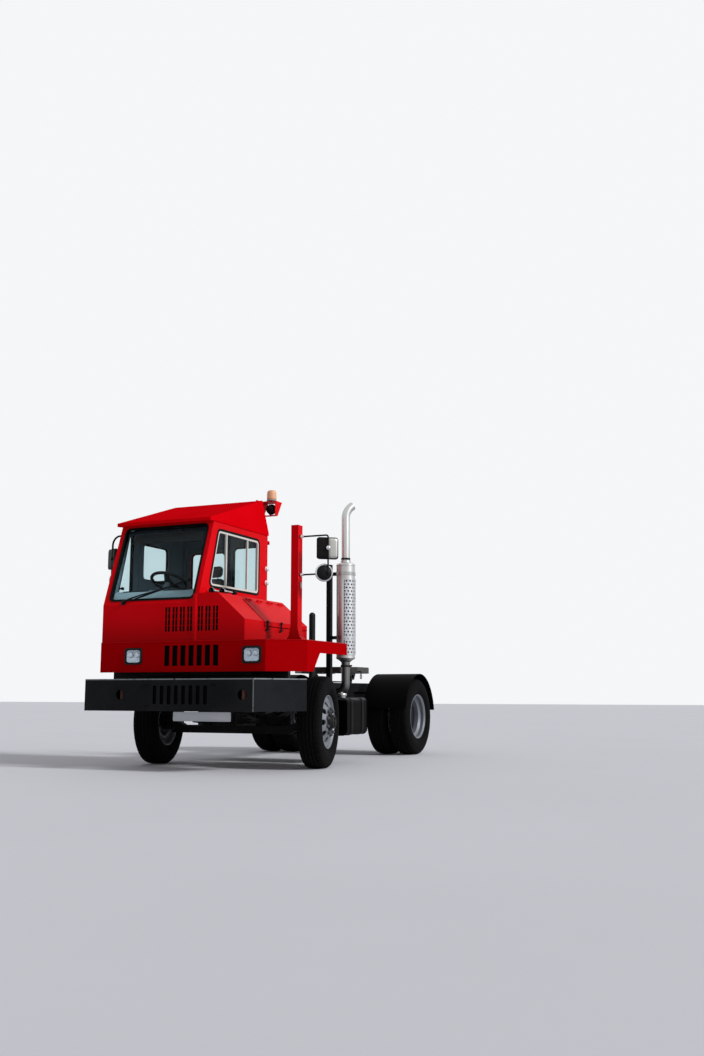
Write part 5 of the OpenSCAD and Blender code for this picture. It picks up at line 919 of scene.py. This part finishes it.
# Rubber in the gap at the lid's front edge and behind its lower edge, and the latches that hold it.
lidSet = {"x": 1.737, "latches": (1.690, 1.353, 0.990)}
lidX = lidSet["x"]
slope = bent([(lidX, 0.3800, 1.8880), (lidX, 0.6530, 1.6340), (lidX, 0.6530, 1.5780)], 0.006)
rubber = sweep(slope, 1.0, roundOutline(0.005, 0.011, 0.002, 3), up=(1, 0, 0))
makePiece("lidRubber", rubber + box((0.884, 0.636, 1.556), (1.740, 0.6438, 1.600), 0.002), "seal_rubber")
latch = (tile(0.022, 0.094, 0.006, 0.0, 0.009, 0.002)
         + tile(0.052, 0.018, 0.007, 0.004, 0.016, 0.003).moved(0, -0.041, 0)
         + tile(0.040, 0.026, 0.006, -0.002, 0.014, 0.003).moved(0, 0.040, 0))
latchPlaces, catchPlaces = (facing([(x, y, z) for x in lidSet["latches"]], (0, 1, 0))
                            for y, z in ((0.6670, 1.585), (0.6525, 1.530)))
makePiece("lidLatches", latch.at(latchPlaces), "seal_rubber", "hood_lid")
makePiece("latchCatches", tile(0.044, 0.020, 0.004, 0.0, 0.010, 0.002).at(catchPlaces), "black_plastic")
catch = tile(0.022, 0.070, 0.006, 0.0, 0.006, 0.002).at(facing((1.640, 1.056, 2.025), (0, 1, 0)))
catch = catch + boltHeads(facing([(1.640, 1.0615, z) for z in (2.002, 2.048)], (0, 1, 0)), 0.011)
makePiece("postCatch", catch, "aluminium")
print("hood")

# Two trumpets: the x and y of each, its length and how deep the black disc of painted shade sits in its
# throat. Outside, the radius is throat + flare t^4 along the length t; the bore runs back from the mouth.
hornSet = {"spots": ((1.730, 0.120, 0.270, 0.250), (1.655, 0.205, 0.255, 0.236)), "throat": 0.010,
           "flare": 0.026, "height": 1.972}
t = np.linspace(0, 1, 16)
horns, throatShades, hornDrums = [], [], []
drum = lathe([(0, 0), (0.020, 0), (0.027, 0.004), (0.027, 0.014), (0.024, 0.017), (0.024, 0.030),
              (0.027, 0.033), (0.027, 0.043), (0.018, 0.048), (0, 0.048)], 28)
for x, y, long, deep in hornSet["spots"]:
    outer = np.stack([hornSet["throat"] + hornSet["flare"] * t ** 4, long * t], -1)
    bore = outer[::-1][:7] - [0.0028, 0]
    lip = [(0.0375, long + 0.002), (0.0345, long + 0.004)]
    place = facing((x, y, hornSet["height"]), (1, 0, 0))
    horns.append(lathe(np.r_[[(0, 0)], outer, lip, bore, [(0, bore[-1, 1])]], 36).at(place))
    # A black disc in the bore: painted shade in the throat.
    throatShades.append(slab(circle(0.0195, 28), deep - 0.002, deep + 0.002).at(place))
    hornDrums.append(drum.moved(0, 0, -0.038).at(place))
makePiece("airHorns", sum(horns), "chrome", replaced=["air_horns"])
makePiece("hornThroats", sum(throatShades), "screenBlack")
mounts = sum(hornDrums) + boxes(0.003, ((1.700, 0.085, 1.931), (1.730, 0.240, 1.943)),
                                ((1.702, 0.108, 1.936), (1.728, 0.132, 1.956)),
                                ((1.640, 0.193, 1.931), (1.668, 0.217, 1.956)))
mounts = mounts + boxes(0.002, ((1.845, 0.112, 1.931), (1.865, 0.128, 1.958)),
                        ((1.795, 0.197, 1.931), (1.815, 0.213, 1.958)))
airLine = smooth([(1.617, 0.205, 1.972), (1.585, 0.195, 1.965), (1.600, 0.150, 1.945), (1.650, 0.130, 1.955),
                  (1.692, 0.120, 1.972)], 5)
makePiece("hornMounts", mounts + sweep(airLine, 0.006, sides=8), "black_plastic")

# Exhaust: a muffler with rolled seams, its tail pipe and elbow, and a pierced shield on the outer side.
stackSet = {"pipe": 0.053, "bore": 0.0495, "top": 3.035, "bend": 0.190, "turn": 60, "elbow": 0.110,
            "elbowTop": 0.952}
seamRoll = [(0.117, -0.008), (0.1205, -0.005), (0.1215, 0), (0.1205, 0.005), (0.117, 0.008)]
seamAt = lambda z: [(radius, z + rise) for radius, rise in seamRoll]
muffler = lathe([(0, 1.196), (0.054, 1.196), (0.055, 1.215), (0.085, 1.242), (0.112, 1.256), *seamAt(1.272),
                 *seamAt(2.428), (0.113, 2.446), (0.098, 2.453), (0.070, 2.457), (0.064, 2.463),
                 (0.063, 2.490), (0.057, 2.494), (0, 2.494)], 72)
onStack = lambda *heights: [(stackX, stackY, z) for z in heights]


def arcFrom(start, along, across, radius, degrees, steps):  # a bend's path, turning from along to across
    turned = np.radians(np.linspace(0, degrees, steps))[:, None]
    return start + radius * (np.array(across) * (1 - np.cos(turned)) + np.array(along) * np.sin(turned))


towards = (-0.74, 0.673, 0)
tailPath = arcFrom(onStack(stackSet["top"]), (0, 0, 1), towards, stackSet["bend"], stackSet["turn"], 14)
tail = sweep(np.r_[onStack(2.48, 2.70, 2.90), tailPath], stackSet["pipe"], sides=40,
             up=tuple(np.cross(towards, (0, 0, 1))), hollow=(stackSet["bore"], 9))
drop = arcFrom(onStack(stackSet["elbowTop"]), (0, 0, -1), (0, -1, 0), stackSet["elbow"], 90, 12)
elbow = sweep(np.r_[onStack(1.210, 1.08), drop, [(stackX, 0.62, 0.842), (stackX, 0.437, 0.842)]],
              stackSet["pipe"], sides=40, up=(1, 0, 0))
exhaust = muffler.moved(stackX, stackY, 0) + tail + elbow
makePiece("exhaust", exhaust, "mufflerSteel", "chassis", ["exhaust_stack"])

shieldSet = {"from": 8.0, "to": 112.0, "low": 1.315, "high": 2.245, "radius": 0.1235}
pierceSet = {"count": (5, 22), "hole": 0.265, "thick": 0.002}


def aroundStack(points):  # a sheet's across becomes the arc about the stack, its depth the radius
    a = points[:, 0] / shieldSet["radius"]
    r = shieldSet["radius"] + points[:, 2]
    return np.stack([stackX + r * np.cos(a), stackY + r * np.sin(a), points[:, 1]], -1)


start, end = (math.radians(shieldSet[k]) * shieldSet["radius"] for k in ("from", "to"))
low, high = shieldSet["low"], shieldSet["high"]
pierced = perforated((start, end), (low, high), wrap=aroundStack, **pierceSet)
wide, tall = end - start + 0.052, high - low + 0.02
outer, inner = roundOutline(wide, tall, 0.02), roundOutline(wide - 0.056, tall - 0.036, 0.012)
rim = frameRing(evenly(outer, 120), evenly(inner, 120), -0.0045, 0.0035)
rim.points = aroundStack(rim.points + [(start + end) / 2 + 0.0105, (low + high) / 2, 0])
makePiece("exhaustShield", pierced + rim, "bare_steel", "chassis")
# A band with its clamp above the muffler, and a hoop with its lug and bolt below it.
hoopPath = np.c_[circle(0.0585, 40), np.full(40, 1.170)]
clip = tile(0.020, 0.012, 0.003, -0.02, 0.02, 0.002).at(facing((0.05, 0.05, 2.512), (1, 1, 0)))
clip = clip + lathe([(0.054, 2.500), (0.0585, 2.501), (0.0585, 2.523), (0.054, 2.524)], 48)
clip = clip + sweep(hoopPath, 1.0, roundOutline(0.008, 0.024, 0.002, 3), ring=True)
clip = clip + box((-0.012, 0.055, 1.160), (0.012, 0.085, 1.182), 0.003)
clip = clip + boltHeads(facing([(0.012, 0.073, 1.171)], (1, 0, 0)), 0.016)
makePiece("exhaustClip", clip.moved(stackX, stackY, 0), "engine_iron", "chassis")
print("exhaust")

# Rubber around the doors' panes, a shade inside the windscreen and a lock under the side door's grip.
doorSeals = {
    "sideDoorSeal": {"middle": (1.190, -1.2095, 2.421), "out": (0, -1, 0), "pane": (0.548, 0.442, 0.06),
                     "low": -0.0165, "body": "side_door"},
    "rearDoorSeal": {"middle": (0.5245, -0.825, 2.160), "out": (-1, 0, 0), "pane": (0.500, 0.920, 0.06),
                     "low": -0.0105, "body": "rear_door"}}
for name, spec in doorSeals.items():
    wide, high, radius = spec["pane"]
    outer = roundOutline(wide + 0.020, high + 0.020, radius + 0.010, 8)
    inner = roundOutline(wide - 0.030, high - 0.030, radius - 0.015, 8)
    seal = frameRing(outer, inner, spec["low"], 0.0055, 0.003)
    makePiece(name, seal.at(facing(spec["middle"], spec["out"])), "seal_rubber", spec["body"])
lock = lathe([(0, 0), (0.019, 0), (0.020, 0.004), (0.016, 0.007), (0.009, 0.008), (0, 0.006)], 28)
makePiece("doorLock", lock.at(facing((0.908, -1.210, 1.845), (0, -1, 0))), "chrome", "side_door")
shade = tile(0.96, 0.13, 0.03, -0.006, 0.006, 0.003).at(facing(onScreen([(-0.58, 0.865, -0.075)]), screenOut))
makePiece("sunShade", shade, "seatVinyl")


def ofVertices(mesh, what="co"):  # each vertex's place, or its normal
    found = np.empty(3 * len(mesh.vertices))
    mesh.vertices.foreach_get(what, found)
    return found.reshape(-1, 3)


def applied(piece):  # makes what the modifiers give the piece's own mesh
    graph = bpy.context.evaluated_depsgraph_get()
    mesh = bpy.data.meshes.new_from_object(piece.evaluated_get(graph))
    piece.modifiers.clear()
    piece.data = mesh
    return mesh


# Swells a closed shell as a sewn cushion: remeshed evenly, blown up as cloth without gravity, and each
# point held to within reach of where it started. Seams then sink along lines of constant distance.
def cushion(name, shell, reach, seams, replaced=()):
    piece = makePiece(name, shell, "seat_cloth", replaced=replaced, crease=60)
    even = piece.modifiers.new("even", "REMESH")
    even.mode, even.voxel_size = "VOXEL", 0.006
    mesh = applied(piece)
    start = ofVertices(mesh)
    air = piece.modifiers.new("air", "CLOTH")
    air.settings.quality, air.settings.use_pressure, air.settings.uniform_pressure_force = 4, True, 4.0
    air.settings.effector_weights.gravity = 0.0
    for step in range(1, 21):
        scene.frame_set(step)
    blown = ofVertices(piece.evaluated_get(bpy.context.evaluated_depsgraph_get()).to_mesh())
    scene.frame_set(1)
    piece.modifiers.clear()
    move = blown - start
    far = np.linalg.norm(move, axis=1, keepdims=True)
    held = start + move * np.minimum(1, reach / np.maximum(far, 1e-9))
    mesh.vertices.foreach_set("co", held.ravel())
    finer = piece.modifiers.new("finer", "SUBSURF")
    finer.levels = finer.render_levels = 1
    mesh = applied(piece)
    points, normals = ofVertices(mesh), ofVertices(mesh, "normal")
    sink = 0.005 * np.exp(-(seams(points) / 0.0045) ** 2)
    mesh.vertices.foreach_set("co", (points - normals * sink[:, None]).ravel())
    piece.data.shade_smooth()


def nearest(values, lines):  # distance to the nearest of a few values
    return np.abs(values[:, None] - np.array(lines)).min(1)


# Distance to two seams along a cushion and those across between them. Its underside has none.
def channels(side, along, half, lines, under):
    across = np.where(np.abs(side) < half, nearest(along, lines), 1.0)
    return np.minimum(nearest(side, (-half, half)), across) + 0.05 * under


# Seat: a cushion in plan, and a back and a headrest that lean.
seatSet = {"x": 1.040, "y": -0.590, "long": 0.45, "wide": 0.47, "low": 1.518, "high": 1.598,
           "back": ((0.895, 1.640), (0.800, 2.235)), "swell": 0.012}
seatX, seatY = seatSet["x"], seatSet["y"]
spot = (seatX + 0.035, seatY, 0)
base = tile(seatSet["long"], seatSet["wide"], 0.07, seatSet["low"], seatSet["high"], 0.03, 6, 8)
cushion("seatCushion", base.moved(*spot), seatSet["swell"], lambda p: channels(
    p[:, 1] - spot[1], p[:, 0] - spot[0], 0.15, (-0.10, 0.0, 0.10), p[:, 2] < 1.56), ["driver_seat"])
foot, head = np.array([(x, seatY, z) for x, z in seatSet["back"]])
lean = unit(head - foot)
backOut = np.cross((0, -1, 0), lean)
backPlace = facing((foot + head) / 2, backOut, lean)
back = tile(seatSet["wide"], np.linalg.norm(head - foot), 0.09, -0.045, 0.040, 0.03, 6, 8)
cushion("seatBack", back.at(backPlace), seatSet["swell"], lambda p: channels(
    p[:, 1] - spot[1], (p - foot) @ lean, 0.14, (0.14, 0.28, 0.42), (p - foot) @ backOut < 0))
rest = tile(0.25, 0.145, 0.05, -0.030, 0.034, 0.026, 6, 8).at(facing((0.786, seatY, 2.337), backOut, lean))
cushion("headrest", rest, 0.008, lambda p: np.full(len(p), 1.0))

# What carries the cushions: bellows on a foot, a pan, a shell behind the back, arms, a lever and a belt.
rise = np.linspace(0, 1, 41)
folds = np.stack([0.135 + 0.014 * np.cos(rise * 12 * np.pi), 1.190 + 0.250 * rise], -1)
carrier = lathe(np.r_[[(0, 1.176)], folds, [(0, 1.446)]], 56).moved(seatX + 0.02, seatY, 0)
for edge, low, high in ((0.006, (0.86, -0.775, 1.171), (1.26, -0.405, 1.196)),
                        (0.010, (0.86, -0.785, 1.440), (1.27, -0.395, 1.492)),
                        (0.012, (0.845, -0.822, 1.488), (1.290, -0.358, 1.522)),
                        (0.018, (0.86, -0.905, 1.800), (1.15, -0.845, 1.845)),
                        (0.018, (0.86, -0.335, 1.800), (1.15, -0.275, 1.845))):
    carrier = carrier + box(low, high, edge)
leverPath = smooth([(1.10, -0.350, 1.47), (1.17, -0.335, 1.475), (1.23, -0.335, 1.50)], 6)
carrier = carrier + tile(0.43, 0.60, 0.09, -0.062, -0.040, 0.008, 4, 8).at(backPlace)
makePiece("seatBase", carrier + sweep(leverPath, np.linspace(0.006, 0.009, 13)), "seatVinyl")
stalks = sum(sweep([(0.800, y, 2.20), (0.790, y, 2.30)], 0.007) for y in (-0.655, -0.525))
makePiece("headrestStalks", stalks, "chrome")
beltPath = smooth([(0.78, -0.350, 2.05), (0.83, -0.345, 1.85), (0.92, -0.345, 1.62), (0.96, -0.348, 1.50)], 8)
belt = sweep(beltPath, 1.0, roundOutline(0.003, 0.046, 0.001, 3), up=(1, 0, 0.4))
makePiece("seatBelt", belt + box((0.925, -0.850, 1.555), (0.965, -0.826, 1.655), 0.008), "black_plastic")

# Steering wheel: a rim whose tube swells between the finger grips, three tapered spokes and a padded hub.
steerSet = {"middle": (1.780, -0.590, 2.120), "tilt": 25, "rim": 0.205, "tube": 0.019, "grips": 36,
            "spokes": (20, 160, 270)}
tilt = math.radians(steerSet["tilt"])
wheelPlane = facing(steerSet["middle"], (-math.sin(tilt), 0, math.cos(tilt)), (0, 1, 0))
a = np.linspace(0, 2 * np.pi, 144, endpoint=False)
steering = sweep(np.c_[circle(steerSet["rim"], 144), 0 * a],
                 steerSet["tube"] * (1 + 0.04 * np.cos(steerSet["grips"] * a)), sides=14, ring=True)
run = np.linspace(0.025, 0.198, 10)
spokePath = np.stack([run, 0 * run, -0.016 + 0.016 * (run / 0.198) ** 2], -1)
spoke = sweep(spokePath, np.linspace(0.090, 0.050, 10), roundOutline(1.0, 0.34, 0.16, 4))
for degrees in steerSet["spokes"]:
    aim = math.radians(degrees)
    steering = steering + spoke.at(facing((0, 0, 0), (0, 0, 1), (-math.sin(aim), math.cos(aim), 0)))
pad = lathe([(0, -0.055), (0.030, -0.055), (0.036, -0.030), (0.052, -0.022), (0.054, -0.004), (0.046, 0.008),
             (0.020, 0.013), (0.018, 0.010), (0, 0.010)], 40)
makePiece("steeringWheel", (steering + pad).at(wheelPlane), "black_plastic", replaced=["steering_wheel"])
print("seat and wheel")

# Dashboard: an instrument face with dials, the roll over it, vents along the screen, stalks and levers.
dialSet = {"middle": (1.8065, -0.590, 1.940), "out": (-0.988, 0, 0.155), "wide": 0.43, "high": 0.118,
           "dials": ((-0.085, 0.004, 0.046), (0.085, 0.004, 0.046), (0.0, 0.022, 0.024),
                     (0.0, -0.030, 0.022), (-0.170, 0.0, 0.024), (0.170, 0.0, 0.024))}
board = facing(dialSet["middle"], dialSet["out"])
rings, plates, hands = [], [], []
for y, z, radius in dialSet["dials"]:
    ring = lathe([(radius, 0), (radius + 0.004, 0.001), (radius + 0.004, 0.006), (radius, 0.007),
                  (radius - 0.002, 0.003)], 40)
    tip = radius * 0.8
    hand = slab([(-0.002, -0.006), (0.002, -0.006), (0.0008, tip), (-0.0008, tip)], 0.0, 0.002)
    rings.append(ring.moved(y, z, 0.0055))
    plates.append(slab(circle(radius, 32), 0.0, 0.002).moved(y, z, 0.0055))
    hands.append(hand.moved(y, z, 0.008))
face = tile(dialSet["wide"], dialSet["high"], 0.02, 0.0, 0.006, 0.002)
makePiece("dialFace", face.at(board), "black_plastic")
makePiece("dialRings", sum(rings).at(board), "chrome")
makePiece("dialPlates", sum(plates).at(board), "screenBlack")
makePiece("dialHands", sum(hands).at(board), "lampWhite")
# The roll's section rises from the screen in a smooth line and falls to the driver.
section = smooth([(2.120, 1.845), (2.085, 1.925), (2.030, 1.985), (1.960, 2.002), (1.885, 1.975),
                  (1.848, 1.890), (1.852, 1.840)], 5)
reach = np.r_[-1.158, np.linspace(-1.150, -0.022, 9), -0.014]
taper = np.r_[0.9, np.ones(9), 0.9][:, None]
roll = np.stack([(section[:, 0] - 1.98) * taper + 1.98, reach[:, None] + 0 * section[:, 0],
                 (section[:, 1] - 1.85) * taper + 1.85], -1)
ends = ((1.98, reach[0], 1.89), (1.98, reach[-1], 1.89))
makePiece("dashRoll", grid(roll, poles=ends), "dashPale")
slat = box((1.990, 0, 1.990), (2.030, 0.005, 2.000), 0.0008)
slatsY = np.r_[np.arange(-1.05, -0.70, 0.012), np.arange(-0.50, -0.15, 0.012)]
fittings = [slat.moved(0, y, 0) for y in slatsY]
for y1, y2, y3 in ((-0.60, -0.66, -0.735), (-0.58, -0.52, -0.445)):
    stalk = smooth([(1.845, y1, 1.99), (1.825, y2, 2.000), (1.800, y3, 2.015)], 6)
    fittings.append(sweep(stalk, np.r_[np.full(8, 0.006), np.full(5, 0.010)]))
switch = box((1.795, 0, 1.864), (1.805, 0.022, 1.884), 0.003)
fittings += [switch.moved(0, y, 0) for y in np.arange(-0.30, -0.08, 0.034)]
gear = lathe([(0, 1.690), (0.042, 1.690), (0.044, 1.700), (0.030, 1.712), (0.034, 1.722), (0.022, 1.734),
              (0.025, 1.744), (0.012, 1.756), (0.008, 1.762), (0.008, 1.830), (0.020, 1.838), (0.026, 1.858),
              (0.020, 1.880), (0, 1.886)], 28)
fittings.append(gear.moved(1.60, -0.070, 0))
for y, wide in ((-0.50, 0.10), (-0.70, 0.07)):
    fittings.append(tile(wide, 0.16, 0.015, 0, 0.012, 0.003).at(facing((1.86, y, 1.30), (-0.8, 0, 0.6))))
    fittings.append(sweep(smooth([(1.865, y, 1.34), (1.90, y, 1.44), (1.96, y, 1.52)], 5), 0.010))
makePiece("dashFittings", sum(fittings), "black_plastic")
makePiece("floorMat", tile(1.30, 1.10, 0.05, 1.1705, 1.178, 0.003).moved(1.28, -0.585, 0), "seal_rubber")
print("dashboard")

# Fuel tank: end seams and two straps around its section, a filler cap and a drain plug.
tankSet = {"middle": (0.810, 0.560), "wide": 0.640, "high": 0.440, "corner": 0.060,
           "seams": (-0.078, 0.528), "straps": (0.065, 0.385)}


def aroundTank(x, proud, section):  # the tank's own outline, let out, as a closed path in y and z
    wide, high = tankSet["wide"] + 2 * proud, tankSet["high"] + 2 * proud
    loop = evenly(roundOutline(wide, high, tankSet["corner"] + proud, 8), 96)
    path = np.c_[np.full(len(loop), x), loop + tankSet["middle"]]
    return sweep(path, 1.0, section, up=(1, 0, 0), ring=True)


seams = sum(aroundTank(x, 0.001, circle(0.005, 8)) for x in tankSet["seams"])
straps = sum(aroundTank(x, 0.0025, roundOutline(0.006, 0.055, 0.002, 3)) for x in tankSet["straps"])
plug = lathe([(0, 0.352), (0.020, 0.352), (0.020, 0.338), (0.013, 0.334), (0, 0.334)], 24)
cap = lathe([(0, 0.778), (0.044, 0.778), (0.044, 0.800), (0.056, 0.802), (0.058, 0.808), (0.058, 0.826),
             (0.052, 0.834), (0.02, 0.837), (0, 0.837)], 48)
cap = cap + box((-0.030, -0.006, 0.834), (0.030, 0.006, 0.848), 0.004)
makePiece("tankSeams", seams, "tankBlack", "chassis")
makePiece("tankStraps", straps + plug.moved(0.225, 0.81, 0), "chassis_grey", "chassis")
makePiece("tankCap", cap.moved(0.455, 1.030, 0), "aluminium", "chassis")

# Battery box: an overlapping lid with latches and a grip, its frame in angle iron.
batterySet = {"lidLow": (-0.608, -1.017, 0.900), "lidHigh": (-0.112, -0.434, 0.939),
              "latches": (-0.54, -0.18)}
lid = box(batterySet["lidLow"], batterySet["lidHigh"], 0.008)
rib = box((-0.560, -0.985, 0.936), (-0.540, -0.47, 0.944), 0.003)
lid = lid + sum(rib.moved(x, 0, 0) for x in (0, 0.13, 0.26, 0.39))
lid = lid + boxes(0.002, ((-0.606, -1.014, 0.514), (-0.596, -1.008, 0.905)),
                  ((-0.124, -1.014, 0.514), (-0.114, -1.008, 0.905)))
grip = sweep(bent([(x, y, 0.78) for x, y in ((-0.47, -1.012), (-0.47, -1.045), (-0.25, -1.045),
                                             (-0.25, -1.012))], 0.018), 0.007)
haspPlaces = facing([(x, -1.015, 0.885) for x in batterySet["latches"]], (0, -1, 0))
hasps = tile(0.030, 0.085, 0.008, 0, 0.010, 0.003).at(haspPlaces)
makePiece("batteryLid", lid, "tankBlack", "chassis")
makePiece("batteryLatches", grip + hasps, "aluminium", "chassis")

# Bolts: rows along both rails and on the deck's edge.
railX = (-2.20, -2.08, -0.98, -0.86, -0.55, 0.62, 0.74, 1.05, 1.42, 1.72, 1.84)
rails = [facing([(x, s * 0.4325, z) for x in railX for z in (0.755, 0.915)], (0, s, 0)) for s in (1, -1)]
deck = upright([(x, y, 0.982) for x in (-0.205, 0.455) for y in (-0.43, -0.15, 0.15, 0.43, 0.76)])
makePiece("frameBolts", boltHeads(np.concatenate([*rails, deck]), 0.026), "engine_iron", "chassis")

# Coupler: a release handle with its ring.
pull = sweep(bent([(-1.330, 0.20, 1.128), (-1.330, 0.500, 1.128), (-1.290, 0.535, 1.128),
                   (-1.290, 0.535, 1.080)], 0.02), 0.008, up=(1, 0, 0))
x, z = circle(0.026, 24).T
loop = sweep(np.c_[x, 0 * x, z], 0.006, sides=8, up=(0, 1, 0), ring=True).moved(-1.290, 0.535, 1.055)
makePiece("couplerPull", pull + loop, "engine_iron", "fifth_wheel")
print("tank, battery box and coupler")

# The camera, as fitted to the photograph.
view = {"position": (12.018, 6.211, 0.851), "yaw": 0.4117, "pitch": 0.1561, "lens": 35.49,
        "filmHeight": 36.0, "filmWidth": 24.0}
level = math.cos(view["pitch"])
back = (math.cos(view["yaw"]) * level, math.sin(view["yaw"]) * level, -math.sin(view["pitch"]))
camera = bpy.data.objects.new("camera", bpy.data.cameras.new("camera"))
camera.data.sensor_fit, camera.data.sensor_height = "VERTICAL", view["filmHeight"]
camera.data.sensor_width, camera.data.lens, camera.data.clip_end = view["filmWidth"], view["lens"], 400.0
camera.matrix_world = Matrix(facing(view["position"], back)[0].tolist())
scene.collection.objects.link(camera)
scene.camera = camera

# A pale sky, a soft sun, a background that is nearly white and a grey floor.
light = {"sky": 0.40, "skyTone": (0.95, 0.97, 1.0), "sunStrength": 2.5, "sunFrom": (0.06, 0.86, 0.5),
         "sunWide": 10.0, "background": (244, 246, 248), "floor": (206, 207, 213), "floorHalf": 60}
floorPaint = Paint("paleFloor", roughness=0.85)
lighter = tone(*[c + 7 for c in light["floor"]])
floorPaint.put(baseColor=floorPaint.mix(floorPaint.noise(0.35, 6.0), tone(*light["floor"]), lighter))
across = np.linspace(-light["floorHalf"], light["floorHalf"], 25)
flat = np.stack([*np.meshgrid(across, across, indexing="ij"), np.zeros((25, 25))], -1)
floorShell = grid(flat, closed=False, turn=False)
floorMesh = bpy.data.meshes.new("floor")
floorMesh.from_pydata(floorShell.points.tolist(), [], floorShell.quads.tolist())
floorMesh.materials.append(floorPaint.material)
floor = bpy.data.objects.new("floor", floorMesh)
scene.collection.objects.link(floor)

# The sky lights the object; the camera, and what is seen in gloss or through glass, get the background.
world = bpy.data.worlds.new("sky")
scene.world = world
world.use_nodes = True
sky = Nodes(world.node_tree)
sky.tree.nodes.remove(sky.tree.nodes["Background"])
direct, gloss, through = (sky.node("ShaderNodeLightPath", out="Is %s Ray" % kind)
                          for kind in ("Camera", "Glossy", "Transmission"))
seen = direct.most(gloss).most(through)
ambient = sky.node("ShaderNodeBackground", None, {"Color": light["skyTone"], "Strength": light["sky"]})
backdrop = sky.node("ShaderNodeBackground", None, {"Color": tone(*light["background"]), "Strength": 1.0})
both = sky.node("ShaderNodeMixShader", None, {"Fac": seen, 1: ambient, 2: backdrop})
sky.feed(sky.tree.nodes["World Output"].inputs["Surface"], both)

sun = bpy.data.objects.new("sun", bpy.data.lights.new("sun", "SUN"))
sun.data.energy, sun.data.angle = light["sunStrength"], math.radians(light["sunWide"])
sun.matrix_world = Matrix(facing((0, 0, 8), light["sunFrom"])[0].tolist())
scene.collection.objects.link(sun)
scene.view_settings.view_transform = "Standard"
print("camera, floor and light")
